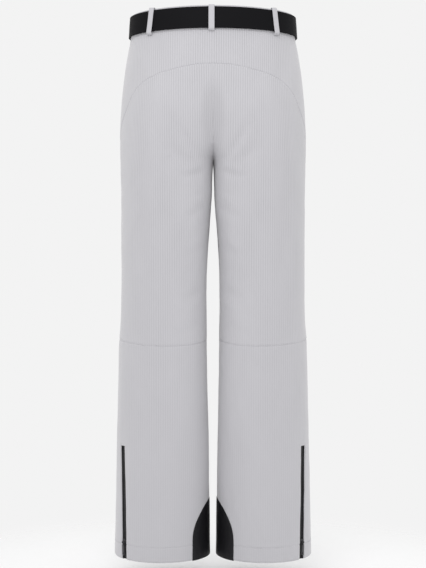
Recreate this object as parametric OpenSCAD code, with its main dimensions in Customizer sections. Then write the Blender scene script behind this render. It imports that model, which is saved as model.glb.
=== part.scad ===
// Ski trousers with a belt, front fly, two zipped hand pockets, zipped ankles and snow gaiters.
// Frame: millimetres, +Z up, origin at the middle of the waist edge.
// The wearer faces -Y, so the seat is on the +Y side and the wearer's left leg is at +X.
// "depth" is the distance below the waist edge. "angle" goes round one leg from its side seam (0),
// over the back (positive) or the front (negative), to its inseam (180).

/* [Trousers] */
// Waist edge to hem, down the side
side_len = 1043; // [1020:1:1060]
// Waist edge to crotch
rise = 285; // [275:1:295]
// Half the width across the waist edge
waist_half = 157; // [155:1:162]
// Half the width across the hips
hip_half = 180; // [178:1:184]
// Half the width across both knees
knee_half = 182; // [180:1:186]
// Half the width across both hems
hem_half = 191; // [188:1:194]
// Half the widest gap between the legs
leg_gap = 12.5; // [11:0.5:14]
// How much higher the waist edge is at the centre back than at the sides
back_rise = 3; // [0:0.5:4]
// How much lower the hem is at the back of a leg than at its sides
hem_drop = 3; // [0:0.5:4]
// Thickness of the outer cloth
cloth = 2; // [1.5:0.1:2.2]
// Space left between two panels at their seam
seam_gap = 0.2; // [0.1:0.05:0.3]

/* [Waistband and belt] */
// Height of the waistband
band_h = 45; // [43:1:47]
// Width of the belt webbing
belt_w = 40; // [38:1:40]
// Thickness of the belt webbing
belt_t = 2.2; // [2:0.1:2.4]
// Width of one belt loop
loop_w = 11; // [10:1:14]
// Length of the buckle frame along the belt
buckle_len = 56; // [52:1:60]

/* [Zips] */
// Width of the closed coil
coil_w = 5.6; // [5:0.1:6]
// Height of the closed coil
coil_h = 2.2; // [2:0.1:2.4]
// Width of a zip's tape
tape_w = 16; // [14:1:16]
// Width of a slider
slider_w = 8.6; // [8:0.1:9]
// Length of a slider
slider_len = 12; // [10:1:13]
// Radius of the pin in a puller's eye
pull_pin_r = 0.8; // [0.7:0.05:0.9]
// Radial clearance of that pin in the slider's ears
pin_clearance = 0.05; // [0.03:0.01:0.08]
// Radius of the hole at a puller's tip
cord_hole_r = 1.6; // [1.4:0.1:1.8]

/* [Hidden] */

ski_grey = [0.80, 0.80, 0.82];
dark = [0.10, 0.10, 0.11];

// The leg's outline: [depth, half-width] of the outside, and half the gap between the legs
OUTER = [
    [0, waist_half], [band_h, waist_half + 3.2], [75, waist_half + 8.8], [110, waist_half + 14],
    [170, hip_half - 3], [230, hip_half + 0.2], [300, hip_half - 0.2], [360, hip_half - 1.8],
    [440, hip_half - 1.6], [520, hip_half - 2.2], [590, knee_half - 3], [633, knee_half],
    [835, hem_half - 4.4], [side_len, hem_half]
];
GAP = [
    [rise, 0], [rise + 15, 1.2], [360, 3.2], [440, leg_gap - 3], [500, leg_gap],
    [630, leg_gap], [835, 9], [940, 8], [side_len, 7]
];
// How far the two legs have parted in plan, from one trunk (0) to two legs (1)
CLEFT = [[0, 0], [60, 0], [120, 0.22], [180, 0.55], [240, 0.83], [rise, 1]];
// Depth of the front and of the back of a leg, from the plane of the side seams
FRONT = [
    [0, 92], [band_h, 94], [110, 97], [180, 101], [240, 101], [300, 98],
    [440, 92], [630, 86], [835, 82], [side_len, 84]
];
BACK = [
    [0, 94], [band_h, 98], [110, 111], [180, 120], [240, 118], [300, 111],
    [440, 95], [630, 83], [835, 84], [side_len, 86]
];
// How square the inner half of a leg is in plan: 2 is an ellipse
SQUARE = [[0, 2], [60, 2], [180, 3.1], [rise, 3.8], [440, 3.3], [700, 2.7], [900, 2.1], [side_len, 2]];

// Seams, as [share of the way from side seam to centre or inseam, depth]
YOKE_SEAM = [
    [0, 246], [0.26, 187], [0.303, 172.4], [0.36, 158.5], [0.423, 146.5], [0.5, 136.5],
    [0.56, 131], [0.63, 125.3], [0.773, 117.3], [0.88, 111.8], [0.95, 110], [1, 109.5]
];
KNEE_SEAM_BACK = [[0, 626.5], [0.5, 638], [1, 628.5]];
KNEE_TOP_FRONT = [[0, 552], [0.5, 540], [1, 552]];
KNEE_LOW_FRONT = [[0, 700], [0.5, 712], [1, 700]];

// Zip lines: [angle, depth] at the lower end and at the upper end
ANKLE_ZIP = [[40.1, side_len - 1], [31.9, 830]];
POCKET_ZIP = [[-24, 205], [-30, 62]];
// Half the width of the slit in the cloth over a zip
slit_half = 5.5;
// Tape thickness, and where its outer face lies from the cloth's outer face
tape_t = 0.7;
tape_off = -4.6;
// The fly's zip: distance behind the front, and the depths of its two ends
fly_off = -10;
fly_low = 180;
fly_high = 50;
lining_off = -11.6;
lining_t = 0.8;

function mix(a, b, t) = a + (b - a) * t;
function unit(v) = v / norm(v);
function sgn_pow(v, e) = v < 0 ? -pow(-v, e) : pow(v, e);

// Smooth curve through a table's points
function slot_of(t, x, i = 0) = i >= len(t) - 2 || x < t[i + 1][0] ? i : slot_of(t, x, i + 1);
function slope(t, k) =
    let (a = max(k - 1, 0), b = min(k + 1, len(t) - 1)) (t[b][1] - t[a][1]) / (t[b][0] - t[a][0]);
function smooth(t, x0) =
    let (
        x = min(max(x0, t[0][0]), t[len(t) - 1][0]),
        i = slot_of(t, x),
        h = t[i + 1][0] - t[i][0],
        s = (x - t[i][0]) / h,
        s2 = s * s,
        s3 = s2 * s
    )
    (2 * s3 - 3 * s2 + 1) * t[i][1] + (s3 - 2 * s2 + s) * h * slope(t, i)
    + (3 * s2 - 2 * s3) * t[i + 1][1] + (s3 - s2) * h * slope(t, i + 1);

function cleft(d) = d >= rise ? 1 : smooth(CLEFT, d);
// Half a leg's width from side to side, and the distance of its middle from the centre
function rad_x(d) =
    d < rise ? smooth(OUTER, d) / (1 + cleft(d))
    : (smooth(OUTER, d) - smooth(GAP, d)) / 2;
function mid_x(d) =
    d < rise ? cleft(d) * rad_x(d)
    : (smooth(OUTER, d) + smooth(GAP, d)) / 2;
// The waist edge rises towards the centre back: s is 0 at the side and 1 at the centre back
lift_depth = 110;
function waist_lift(s, d) =
    s > 0 && d < lift_depth ? back_rise * s * s * (1 - d / lift_depth) : 0;
function hem_depth(th) = side_len + hem_drop * max(sin(th), 0);
function rad_y(th, d) = smooth(sin(th) < 0 ? FRONT : BACK, d);

// A point of the left leg at an angle and a depth, "off" outside the cloth's outer face
function leg_point(th, d, off) =
    let (e = cos(th) < 0 ? 2 / smooth(SQUARE, d) : 1, s = sgn_pow(sin(th), e))
    [
        mid_x(d) + (rad_x(d) + off) * sgn_pow(cos(th), e),
        (rad_y(th, d) + off) * s,
        -d + waist_lift(s, d)
    ];
// The angle at which the leg's outer face reaches the plane at x
function angle_at(d, x) =
    let (q = (mid_x(d) - x) / rad_x(d))
    q >= 1 ? 180 : q <= 0 ? acos(-q) : acos(-pow(q, smooth(SQUARE, d) / 2));
function end_angle(d) = angle_at(d, 0) - atan(seam_gap / 2 / rad_x(d));
function start_angle(d) = atan(seam_gap / 2 / rad_x(d));
function flip_x(p) = [-p[0], p[1], p[2]];

function steps(a, b, n) = [for (i = [0:n]) mix(a, b, i / n)];

// A sheet of cloth: a grid of points, made solid between two layers. place(u, v, layer) gives a
// point of layer 0 (outside) or 1 (inside). Cells where gone(i, j) is true are left out.
module sheet(us, vs, place, flip = false, closed = false, gone = function(i, j) false) {
    n = len(us);
    m = len(vs);
    cells = closed ? n : n - 1;
    id = function(i, j, k) (k * m + j) * n + i % n;
    there = function(i, j)
        j >= 0 && j < m - 1 && (closed || (i >= 0 && i < cells)) && !gone((i + cells) % cells, j);
    wall = function(p, q, pk, qk) [[q, p, pk], [q, pk, qk]];
    faces = [
        for (j = [0:m - 2]) for (i = [0:cells - 1]) if (there(i, j))
        let (
            a = id(i, j, 0), b = id(i + 1, j, 0), c = id(i + 1, j + 1, 0), d = id(i, j + 1, 0),
            ak = id(i, j, 1), bk = id(i + 1, j, 1), ck = id(i + 1, j + 1, 1), dk = id(i, j + 1, 1)
        )
        each concat(
            [[a, b, c], [a, c, d], [ak, ck, bk], [ak, dk, ck]],
            there(i, j - 1) ? [] : wall(a, b, ak, bk),
            there(i + 1, j) ? [] : wall(b, c, bk, ck),
            there(i, j + 1) ? [] : wall(c, d, ck, dk),
            there(i - 1, j) ? [] : wall(d, a, dk, ak)
        )
    ];
    turned = flip ? [for (f = faces) [f[2], f[1], f[0]]] : faces;
    points = [for (k = [0, 1]) for (v = vs) for (u = us) place(u, v, k)];
    polyhedron(points = points, faces = turned, convexity = 6);
}

// ---- Outer cloth ----

thigh_us = steps(0, 1, 12);

module back_yoke() {
    us = steps(0, 2, 24);
    vs = steps(0, 1, 5);
    color(ski_grey)
    sheet(us, vs, function(u, v, k)
        let (
            w = u <= 1 ? u : 2 - u,
            d = mix(band_h + seam_gap, smooth(YOKE_SEAM, w) - seam_gap / 2, v),
            edge = u <= 0 || u >= 2 ? start_angle(d) : 0,
            p = leg_point(edge + w * angle_at(d, 0), d, -k * cloth)
        )
        u == 1 ? [0, p[1], p[2]] : u < 1 ? p : flip_x(p));
}

// Depth in a back thigh: v is 0 to 1 beside the centre seam and 1 to 2 beside the inseam
function back_thigh_depth(u, v) =
    let (
        top = smooth(YOKE_SEAM, u) + seam_gap / 2,
        low = smooth(KNEE_SEAM_BACK, u) - seam_gap / 2,
        crotch = mix(rise + 25, rise, u)
    )
    v <= 1 ? mix(top, crotch, 1 - pow(1 - v, 1.6)) : mix(crotch, low, pow(v - 1, 1.3));

module back_thigh_l() {
    color(ski_grey)
    sheet(thigh_us, concat(steps(0, 1, 8), [for (i = [1:9]) 1 + i / 9]), function(u, v, k)
        let (d = back_thigh_depth(u, v))
        leg_point(mix(start_angle(d), end_angle(d), u), d, -k * cloth));
}

// Across a panel with a zip slit, 0 to 1 is one side, 1 to 2 the slit and 2 to 3 the other side
function zip_point(zip, d) =
    mix(leg_point(zip[0][0], zip[0][1], 0), leg_point(zip[1][0], zip[1][1], 0),
        (d - zip[0][1]) / (zip[1][1] - zip[0][1]));
function zip_angle(zip, d) =
    let (p = zip_point(zip, d), q = (p[0] - mid_x(d)) / rad_x(d))
    atan2(p[1] / rad_y(sign(zip[0][0]) * 90, d), q);
function slit_angle(th, d) =
    slit_half / norm([rad_x(d) * sin(th), rad_y(th, d) * cos(th)]) * 180 / PI;
function split_angle(u, d, zip) =
    let (
        z = abs(zip_angle(zip, min(max(d, zip[1][1]), zip[0][1]))),
        s = slit_angle(z * sign(zip[0][0]), d)
    )
    sign(zip[0][0]) * (
        u <= 1 ? mix(start_angle(d), z - s, u)
        : u <= 2 ? mix(z - s, z + s, u - 1)
        : mix(z + s, end_angle(d), u - 2)
    );
split_us = [0, 0.5, 1, 2, 2.08, 2.18, 2.28, 2.38, 2.48, 2.58, 2.68, 2.78, 2.89, 3];
split_cell = 2;
knee_depth = 632;
knee_top_depth = 545;
// Share of the way from side seam to inseam, at a depth where a seam crosses such a panel
function share(u, d, zip) = abs(split_angle(u, d, zip)) / 180;

module back_calf_l() {
    zip_v = 0.484;
    zip_row = 4;
    vs = concat(steps(0, zip_v, zip_row), [for (i = [1:5]) mix(zip_v, 1, i / 5)]);
    color(ski_grey)
    sheet(split_us, vs, function(u, v, k)
        let (
            top = smooth(KNEE_SEAM_BACK, share(u, knee_depth, ANKLE_ZIP)) + seam_gap / 2,
            low = hem_depth(split_angle(u, side_len, ANKLE_ZIP)),
            d = mix(top, low, v)
        )
        leg_point(split_angle(u, d, ANKLE_ZIP), d, -k * cloth),
        gone = function(i, j) i == split_cell && j >= zip_row);
}

module front_thigh_l() {
    rows = concat([band_h + seam_gap, 62, 98, 134, 170, 205], [235, 260, 274, 282, rise, 292, 305],
        [340, 380, 430, 480, 530]);
    first = 1;
    last = 5;
    color(ski_grey)
    sheet(split_us, rows, function(u, v, k)
        let (
            low = smooth(KNEE_TOP_FRONT, share(u, knee_top_depth, POCKET_ZIP)) - seam_gap / 2,
            d = v < 480 ? v : mix(480, low, (v - 480) / 50)
        )
        leg_point(split_angle(u, d, POCKET_ZIP), d, -k * cloth),
        flip = true,
        gone = function(i, j) i == split_cell && j >= first && j < last);
}

module front_panel(top, low, rows, bulge = 0) {
    color(ski_grey)
    sheet(thigh_us, steps(0, 1, rows), function(u, v, k)
        let (
            d = mix(smooth(top, u) + seam_gap / 2, smooth(low, u) - seam_gap / 2, v),
            swell = bulge * sin(180 * u) * sin(180 * v)
        )
        leg_point(-mix(start_angle(d), end_angle(d), u), d, swell - k * cloth),
        flip = true);
}
module front_knee_l() {
    front_panel(KNEE_TOP_FRONT, KNEE_LOW_FRONT, 4, 1.5);
}
module front_shin_l() {
    front_panel(KNEE_LOW_FRONT, [[0, side_len + seam_gap / 2], [1, side_len + seam_gap / 2]], 7);
}

// Kick patch over the inseam at the ankle: an arch, highest on the inseam
guard_turn = 49.5;
guard_tip = 934;
guard_shoulder = 1008;
module scuff_guard_l() {
    half = [1, 0.985, 0.94, 0.85, 0.7, 0.5, 0.25];
    us = concat([for (u = half) -u], [0], [for (i = [1:7]) half[7 - i]]);
    color(dark)
    sheet(us, steps(0, 1, 4), function(u, v, k)
        let (
            th = 180 + u * guard_turn,
            top = mix(guard_shoulder, guard_tip, pow(1 - u * u, 0.53)),
            d = mix(top, hem_depth(th), v)
        )
        leg_point(th, d, k == 0 ? 1.9 : 0.6));
}

// ---- Waistband ----

// A point round the whole waist: turn 0 is the left side, 90 the centre back, 270 the centre front
function waist_point(turn, d, off) = [
    (smooth(OUTER, d) + off) * cos(turn),
    (smooth(sin(turn) < 0 ? FRONT : BACK, d) + off) * sin(turn),
    -d + waist_lift(sin(turn), d)
];
front_cut = 0.15;
band_turns = steps(-90 + front_cut, 270 - front_cut, 44);

module waistband_outer() {
    color(ski_grey)
    sheet(band_turns, steps(0, band_h, 2), function(u, v, k) waist_point(u, v, -k * 1.4));
}
module waistband_facing() {
    color(dark)
    sheet(band_turns, steps(1, band_h - 1, 1), function(u, v, k) waist_point(u, v, -1.8 - k * 1.4));
}
snap_x = [12, 30];
tab_off = -8.9;
module waistband_tab() {
    color(dark)
    difference() {
        sheet(steps(-93, -66, 4), steps(4, band_h - 2, 1),
            function(u, v, k) waist_point(u, v, tab_off - k * 1.6));
        for (x = snap_x) snap_axis(x) cylinder(r = 1.4, h = 60, center = true, $fn = 32);
    }
}
// Axis of a snap through the front of the waistband, +Z towards the wearer's front
module snap_axis(x) {
    d = 22;
    y = -smooth(FRONT, d) * sqrt(1 - pow(x / smooth(OUTER, d), 2));
    translate([x, y, -d]) rotate([90, 0, 0]) children();
}
module snap_caps() {
    color("silver")
    for (x = snap_x) snap_axis(x) translate([0, 0, 0.5]) cylinder(r = 5.5, h = 0.7, $fn = 48);
}
module snap_sockets() {
    color("silver")
    for (x = snap_x) snap_axis(x) translate([0, 0, -7.4])
        difference() {
            cylinder(r = 5, h = 3.4, $fn = 48);
            translate([0, 0, -1]) cylinder(r = 2.2, h = 3.6, $fn = 48);
        }
}
module snap_studs() {
    color("silver")
    for (x = snap_x) snap_axis(x) {
        translate([0, 0, -8.1]) cylinder(r = 4.6, h = 0.5, $fn = 48);
        translate([0, 0, -7.7]) cylinder(r = 2.05, h = 2.4, $fn = 48);
        translate([0, 0, -12.3]) cylinder(r = 1.3, h = 4.4, $fn = 32);
        translate([0, 0, -12.3]) cylinder(r = 4.6, h = 0.6, $fn = 48);
    }
}

// ---- Belt ----

belt_top = 2.5;
belt_off = 2.1;
belt_low_turn = -103;
belt_end_turn = 360 - 62;
overlap_lift = belt_t + 0.4;
// The belt's free end rises over its other end, between two turns
lift_from = 222;
lift_to = 250;
function belt_lift(turn) =
    let (t = min(max((turn - lift_from) / (lift_to - lift_from), 0), 1))
    overlap_lift * (1 - cos(180 * t)) / 2;
module belt_strap() {
    color(dark)
    sheet(steps(belt_low_turn, belt_end_turn, 52), [belt_top, belt_top + belt_w], function(u, v, k)
        waist_point(u, v, belt_off + belt_lift(u) + (k == 0 ? belt_t : 0)));
}
// Metal end of the webbing
module belt_tip() {
    color("silver")
    sheet(steps(belt_end_turn + 0.3, belt_end_turn + 5.5, 3), steps(belt_top, belt_top + belt_w, 4),
        function(u, v, k)
        let (c = belt_top + belt_w / 2, s = (u - belt_end_turn) / 5.5, w = mix(1, 0.88, s * s))
        waist_point(u, c + (v - c) * w, belt_off + belt_t + 0.3 + (k == 0 ? belt_t : 0)));
}

// Buckle, flat across the centre front. Local frame: X along the belt, Y up, Z out of the wearer
buckle_out = 100.4;
frame_t = 2.6;
frame_bar = 4;
frame_h = belt_w + 2 * frame_bar + 2;
lever_pin_r = 1.2;
pin_up = frame_t + 2.6;
module buckle_place() {
    translate([0, -buckle_out, -belt_top - belt_w / 2]) rotate([90, 0, 0]) children();
}
module rounded(w, h, t, r) {
    linear_extrude(t) union() {
        square([w - 2 * r, h], center = true);
        square([w, h - 2 * r], center = true);
        for (x = [-1, 1]) for (y = [-1, 1])
            translate([x * (w / 2 - r), y * (h / 2 - r)]) circle(r = r, $fn = 48);
    }
}
hinge_x = -buckle_len / 2 + 3;
module buckle_frame() {
    color("silver")
    buckle_place() difference() {
        union() {
            rounded(buckle_len, frame_h, frame_t, 4);
            for (s = [-1, 1])
                translate([hinge_x, s * (frame_h / 2 - 2), pin_up]) rotate([90, 0, 0])
                    cylinder(r = 2.6, h = 3.6, center = true, $fn = 48);
            for (s = [-1, 1])
                translate([hinge_x - 2.6, s * (frame_h / 2 - 2) - 1.8, frame_t - 0.5])
                    cube([5.2, 3.6, pin_up - frame_t + 0.5]);
        }
        translate([5, 0, -1]) rounded(buckle_len - 24, frame_h - 2 * frame_bar, frame_t + 2, 2);
        translate([hinge_x, 0, pin_up]) rotate([90, 0, 0])
            cylinder(r = lever_pin_r, h = frame_h + 2, center = true, $fn = 48);
    }
}
module buckle_pin() {
    color("silver")
    buckle_place() translate([hinge_x, 0, pin_up]) rotate([90, 0, 0])
        cylinder(r = lever_pin_r, h = frame_h - 0.6, center = true, $fn = 48);
}
module buckle_lever() {
    bore = lever_pin_r + pin_clearance;
    plate_h = frame_h - 8.4;
    color("silver")
    buckle_place() difference() {
        union() {
            translate([hinge_x, 0, pin_up]) rotate([90, 0, 0])
                cylinder(r = 2.2, h = plate_h, center = true, $fn = 48);
            translate([2.6, 0, pin_up]) rounded(buckle_len - 2.4, plate_h, 1.8, 4);
            translate([hinge_x, -plate_h / 2, pin_up]) cube([8, plate_h, 1.8]);
        }
        translate([hinge_x, 0, pin_up]) rotate([90, 0, 0])
            cylinder(r = bore, h = frame_h, center = true, $fn = 48);
    }
}

// Belt loop: a strap sewn to the waistband above and below the belt. Its section is drawn in the
// plane across the waist (X out, Y up) and follows the slope of the waistband's wall
module belt_loop(turn, lean = 0, lift = 0) {
    d = belt_top + belt_w / 2;
    p = waist_point(turn, d, 0);
    q = waist_point(turn + 0.5, d, 0) - waist_point(turn - 0.5, d, 0);
    face = atan2(q[1], q[0]) - 90;
    n = [cos(face), sin(face), 0];
    section = function(corners) [
        for (c = corners) [c[0] + (waist_point(turn, max(d - c[1], 0), 0) - p) * n, c[1]]
    ];
    out = belt_off + belt_t + 0.5 + lift;
    raised = waist_lift(sin(turn), d);
    top = d + 3.5 - raised;
    low = d - band_h - 1 - raised;
    foot = 3;
    color(ski_grey)
    translate(p) rotate([0, 0, face]) rotate([lean, 0, 0]) rotate([90, 0, 0])
    linear_extrude(loop_w, center = true) difference() {
        polygon(section([
            [0.5, low], [out, low], [out + 1.5, low + 3], [out + 1.5, top - 2], [out, top],
            [0.6, top], [-0.2, top - 2], [0.3, top - 3]
        ]));
        polygon(section([
            [-1, low + foot], [out, low + foot], [out, top - 1.6], [1.2, top - 1.6],
            [1.2, top - 2.8], [-1, top - 3.1]
        ]));
    }
}
side_loop_turn = 44;
front_loop_turn = -52;
module loop_back_centre() {
    belt_loop(89);
}
module loop_back_l() {
    belt_loop(side_loop_turn - 0.7, -5);
}
module loop_back_r() {
    belt_loop(180 - side_loop_turn, 5);
}
module loop_front_l() {
    belt_loop(front_loop_turn);
}
module loop_front_r() {
    belt_loop(180 - front_loop_turn, 0, overlap_lift);
}

// ---- Zips ----

// Frame of a zip on the left leg: origin at its lower end on the cloth's outer face, +Z up the zip,
// +Y out of the cloth, +X across it
module zip_frame(zip, off = 0) {
    low = leg_point(zip[0][0], zip[0][1], 0);
    high = leg_point(zip[1][0], zip[1][1], 0);
    mid_th = (zip[0][0] + zip[1][0]) / 2;
    mid_d = (zip[0][1] + zip[1][1]) / 2;
    z = unit(high - low);
    along = leg_point(mid_th + 1, mid_d, 0) - leg_point(mid_th - 1, mid_d, 0);
    y = unit(cross(along, z));
    x = cross(y, z);
    o = low + y * off;
    multmatrix([
        [x[0], y[0], z[0], o[0]],
        [x[1], y[1], z[1], o[1]],
        [x[2], y[2], z[2], o[2]],
        [0, 0, 0, 1]
    ]) children();
}
function zip_len(zip) =
    norm(leg_point(zip[1][0], zip[1][1], 0) - leg_point(zip[0][0], zip[0][1], 0));
// The fly's frame: on the centre front, behind the cloth
function front_centre(d) = leg_point(-angle_at(d, 0), d, 0)[1];
fly_a = [0, front_centre(fly_low) - fly_off, -fly_low];
fly_b = [0, front_centre(fly_high) - fly_off, -fly_high];
fly_len = norm(fly_b - fly_a);
fly_tilt = atan2(fly_b[1] - fly_a[1], fly_b[2] - fly_a[2]);
module fly_frame() {
    translate(fly_a) rotate([-fly_tilt, 0, 0]) rotate([0, 0, 180]) children();
}

module tape(len) {
    color(dark) translate([-tape_w / 2, tape_off - tape_t, 0]) cube([tape_w, tape_t, len]);
}
module coil(len) {
    r = coil_h / 2;
    color(dark) translate([0, tape_off + r, 1]) linear_extrude(len - 2) union() {
        square([coil_w - coil_h, coil_h], center = true);
        for (s = [-1, 1]) translate([s * (coil_w / 2 - r), 0]) circle(r = r, $fn = 24);
    }
}
// A slider lies over the coil with a lip down each side of it. z0 is how far up the zip it stands
play = 0.3;
plate_y = tape_off + coil_h + play;
plate_t = 1.2;
ear_gap = 3.2;
ear_t = 1.2;
eye_y = plate_y + plate_t + 2.2;
module slider_body(z0) {
    color("dimgray") translate([0, 0, z0]) difference() {
        union() {
            translate([-slider_w / 2, plate_y, 0]) cube([slider_w, plate_t, slider_len]);
            for (s = [0, 1]) mirror([s, 0, 0])
                translate([coil_w / 2 + play, tape_off + play, 0])
                    cube([slider_w / 2 - coil_w / 2 - play, coil_h + plate_t / 2, slider_len]);
            for (s = [-1, 1]) translate([s * (ear_gap + ear_t) / 2, 0, slider_len / 2]) {
                translate([-ear_t / 2, plate_y + 0.4, -2]) cube([ear_t, 3, 4]);
                translate([0, eye_y, 0]) rotate([0, 90, 0])
                    cylinder(r = 1.9, h = ear_t, center = true, $fn = 48);
            }
        }
        translate([0, eye_y, slider_len / 2]) rotate([0, 90, 0])
            cylinder(r = pull_pin_r + pin_clearance, h = slider_w, center = true, $fn = 48);
    }
}
// The puller hangs down the zip from the slider's eye
pull_len = 24;
pull_w = 6.4;
pull_t = 1.5;
module pull_body(z0, length = pull_len, cord_hole = true) {
    color("dimgray") translate([0, eye_y, z0 + slider_len / 2]) difference() {
        union() {
            rotate([0, 90, 0])
                cylinder(r = pull_pin_r, h = ear_gap + 2 * ear_t + 0.2, center = true, $fn = 48);
            translate([-ear_gap / 2 + 0.3, -pull_t / 2, -5]) cube([ear_gap - 0.6, pull_t, 5]);
            translate([0, pull_t / 2, -4 - (length - 4) / 2]) rotate([90, 0, 0])
                rounded(pull_w, length - 4, pull_t, 1.8);
        }
        if (cord_hole) translate([0, 0, -length + 3.4]) rotate([90, 0, 0])
            cylinder(r = cord_hole_r, h = 10, center = true, $fn = 48);
    }
}

ankle_rest = 23;
pocket_rest = zip_len(POCKET_ZIP) - slider_len - 3;
fly_rest = fly_len - slider_len - 3;

module ankle_tape_l() {
    zip_frame(ANKLE_ZIP) tape(zip_len(ANKLE_ZIP) + 6);
}
module ankle_coil_l() {
    zip_frame(ANKLE_ZIP) coil(zip_len(ANKLE_ZIP));
}
module ankle_slider_l() {
    zip_frame(ANKLE_ZIP) slider_body(ankle_rest);
}
module ankle_pull_l() {
    zip_frame(ANKLE_ZIP) pull_body(ankle_rest);
}
module pocket_tape_l() {
    zip_frame(POCKET_ZIP) translate([0, 0, -6]) tape(zip_len(POCKET_ZIP) + 12);
}
module pocket_coil_l() {
    zip_frame(POCKET_ZIP) coil(zip_len(POCKET_ZIP));
}
module pocket_slider_l() {
    zip_frame(POCKET_ZIP) slider_body(pocket_rest);
}
module pocket_pull_l() {
    zip_frame(POCKET_ZIP) pull_body(pocket_rest);
}
// Flat bag behind the pocket zip, hanging towards the front
module pocket_bag_l() {
    color(dark)
    sheet(steps(0, 1, 5), steps(56, 250, 5), function(u, v, k)
        leg_point(-mix(19, 19 + 42 * (1 - 0.35 * pow((v - 56) / 194, 3)), u), v, -9.2 - k * 1.2),
        flip = true);
}
module fly_tape() {
    fly_frame() tape(fly_len);
}
module fly_coil() {
    fly_frame() coil(fly_len);
}
module fly_slider() {
    fly_frame() slider_body(fly_rest);
}
module fly_pull() {
    fly_frame() pull_body(fly_rest, 18, false);
}
// Cloth behind the fly's zip
module fly_shield() {
    color(dark) fly_frame() translate([-20, tape_off - tape_t - 2, -8]) cube([38, 1.2, fly_len + 4]);
}

// ---- Inside ----

function lining_front_x(d) = d < 205 ? 26 : d > 235 ? 0 : mix(26, 0, (d - 205) / 30);
module lining_l() {
    rows = [50, 90, 130, 170, 205, 235, 262, 276, rise, 300, 340, 420, 520, 640, 780, 900, 985];
    color("gray")
    sheet(steps(-1, 1, 16), rows, function(u, v, k)
        let (
            back = end_angle(v) - 0.3,
            front = min(angle_at(v, lining_front_x(v)), end_angle(v)) - 0.3
        )
        leg_point((u < 0 ? front : back) * u, v, lining_off - k * lining_t),
        flip = false);
}
gaiter_top = 790;
gaiter_low = 1022;
elastic_h = 22;
function gaiter_off(d) = mix(-16.6, -27, pow((d - gaiter_top) / (gaiter_low - gaiter_top), 1.3));
module gaiter_l() {
    color(dark)
    sheet(steps(-180, 180 - 18, 19), steps(gaiter_top, gaiter_low - elastic_h, 3),
        function(u, v, k) leg_point(u, v, gaiter_off(v) - k * 1.2), closed = true);
}
module gaiter_elastic_l() {
    color(dark)
    sheet(steps(-180, 180 - 18, 19), [gaiter_low - elastic_h + 0.3, gaiter_low],
        function(u, v, k) leg_point(u, v, gaiter_off(v) - k * 2), closed = true);
}

// ---- The right leg mirrors the left ----

module right() {
    mirror([1, 0, 0]) children();
}
module back_thigh_r() {
    right() back_thigh_l();
}
module back_calf_r() {
    right() back_calf_l();
}
module front_thigh_r() {
    right() front_thigh_l();
}
module front_knee_r() {
    right() front_knee_l();
}
module front_shin_r() {
    right() front_shin_l();
}
module scuff_guard_r() {
    right() scuff_guard_l();
}
module pocket_tape_r() {
    right() pocket_tape_l();
}
module pocket_coil_r() {
    right() pocket_coil_l();
}
module pocket_slider_r() {
    right() pocket_slider_l();
}
module pocket_pull_r() {
    right() pocket_pull_l();
}
module pocket_bag_r() {
    right() pocket_bag_l();
}
module ankle_tape_r() {
    right() ankle_tape_l();
}
module ankle_coil_r() {
    right() ankle_coil_l();
}
module ankle_slider_r() {
    right() ankle_slider_l();
}
module ankle_pull_r() {
    right() ankle_pull_l();
}
module gaiter_r() {
    right() gaiter_l();
}
module gaiter_elastic_r() {
    right() gaiter_elastic_l();
}
module lining_r() {
    right() lining_l();
}

back_yoke();
back_thigh_l();
back_thigh_r();
back_calf_l();
back_calf_r();
front_thigh_l();
front_thigh_r();
front_knee_l();
front_knee_r();
front_shin_l();
front_shin_r();
scuff_guard_l();
scuff_guard_r();
waistband_outer();
waistband_facing();
waistband_tab();
loop_back_centre();
loop_back_l();
loop_back_r();
loop_front_l();
loop_front_r();
belt_strap();
belt_tip();
buckle_frame();
buckle_lever();
buckle_pin();
snap_caps();
snap_sockets();
snap_studs();
fly_shield();
fly_tape();
fly_coil();
fly_slider();
fly_pull();
pocket_tape_l();
pocket_tape_r();
pocket_coil_l();
pocket_coil_r();
pocket_slider_l();
pocket_slider_r();
pocket_pull_l();
pocket_pull_r();
pocket_bag_l();
pocket_bag_r();
ankle_tape_l();
ankle_tape_r();
ankle_coil_l();
ankle_coil_r();
ankle_slider_l();
ankle_slider_r();
ankle_pull_l();
ankle_pull_r();
gaiter_l();
gaiter_r();
gaiter_elastic_l();
gaiter_elastic_r();
lining_l();
lining_r();
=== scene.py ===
import math

import bpy
import numpy as np
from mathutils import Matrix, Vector


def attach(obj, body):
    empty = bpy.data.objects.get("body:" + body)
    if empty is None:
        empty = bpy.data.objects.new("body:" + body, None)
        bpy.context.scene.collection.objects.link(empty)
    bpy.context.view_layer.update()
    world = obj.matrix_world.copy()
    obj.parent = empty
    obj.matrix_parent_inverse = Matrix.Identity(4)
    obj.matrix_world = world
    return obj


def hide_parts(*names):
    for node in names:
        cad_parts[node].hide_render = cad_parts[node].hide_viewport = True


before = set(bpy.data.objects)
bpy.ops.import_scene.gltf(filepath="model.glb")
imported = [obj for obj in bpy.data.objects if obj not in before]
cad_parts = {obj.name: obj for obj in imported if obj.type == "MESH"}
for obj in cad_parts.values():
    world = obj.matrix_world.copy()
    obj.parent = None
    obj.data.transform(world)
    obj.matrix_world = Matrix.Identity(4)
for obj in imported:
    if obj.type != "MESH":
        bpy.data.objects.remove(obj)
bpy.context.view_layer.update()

MM = 0.001
ROOT = "trousers"
SIDES = ((1, "_l"), (-1, "_r"))

# ----
# Materials

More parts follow.
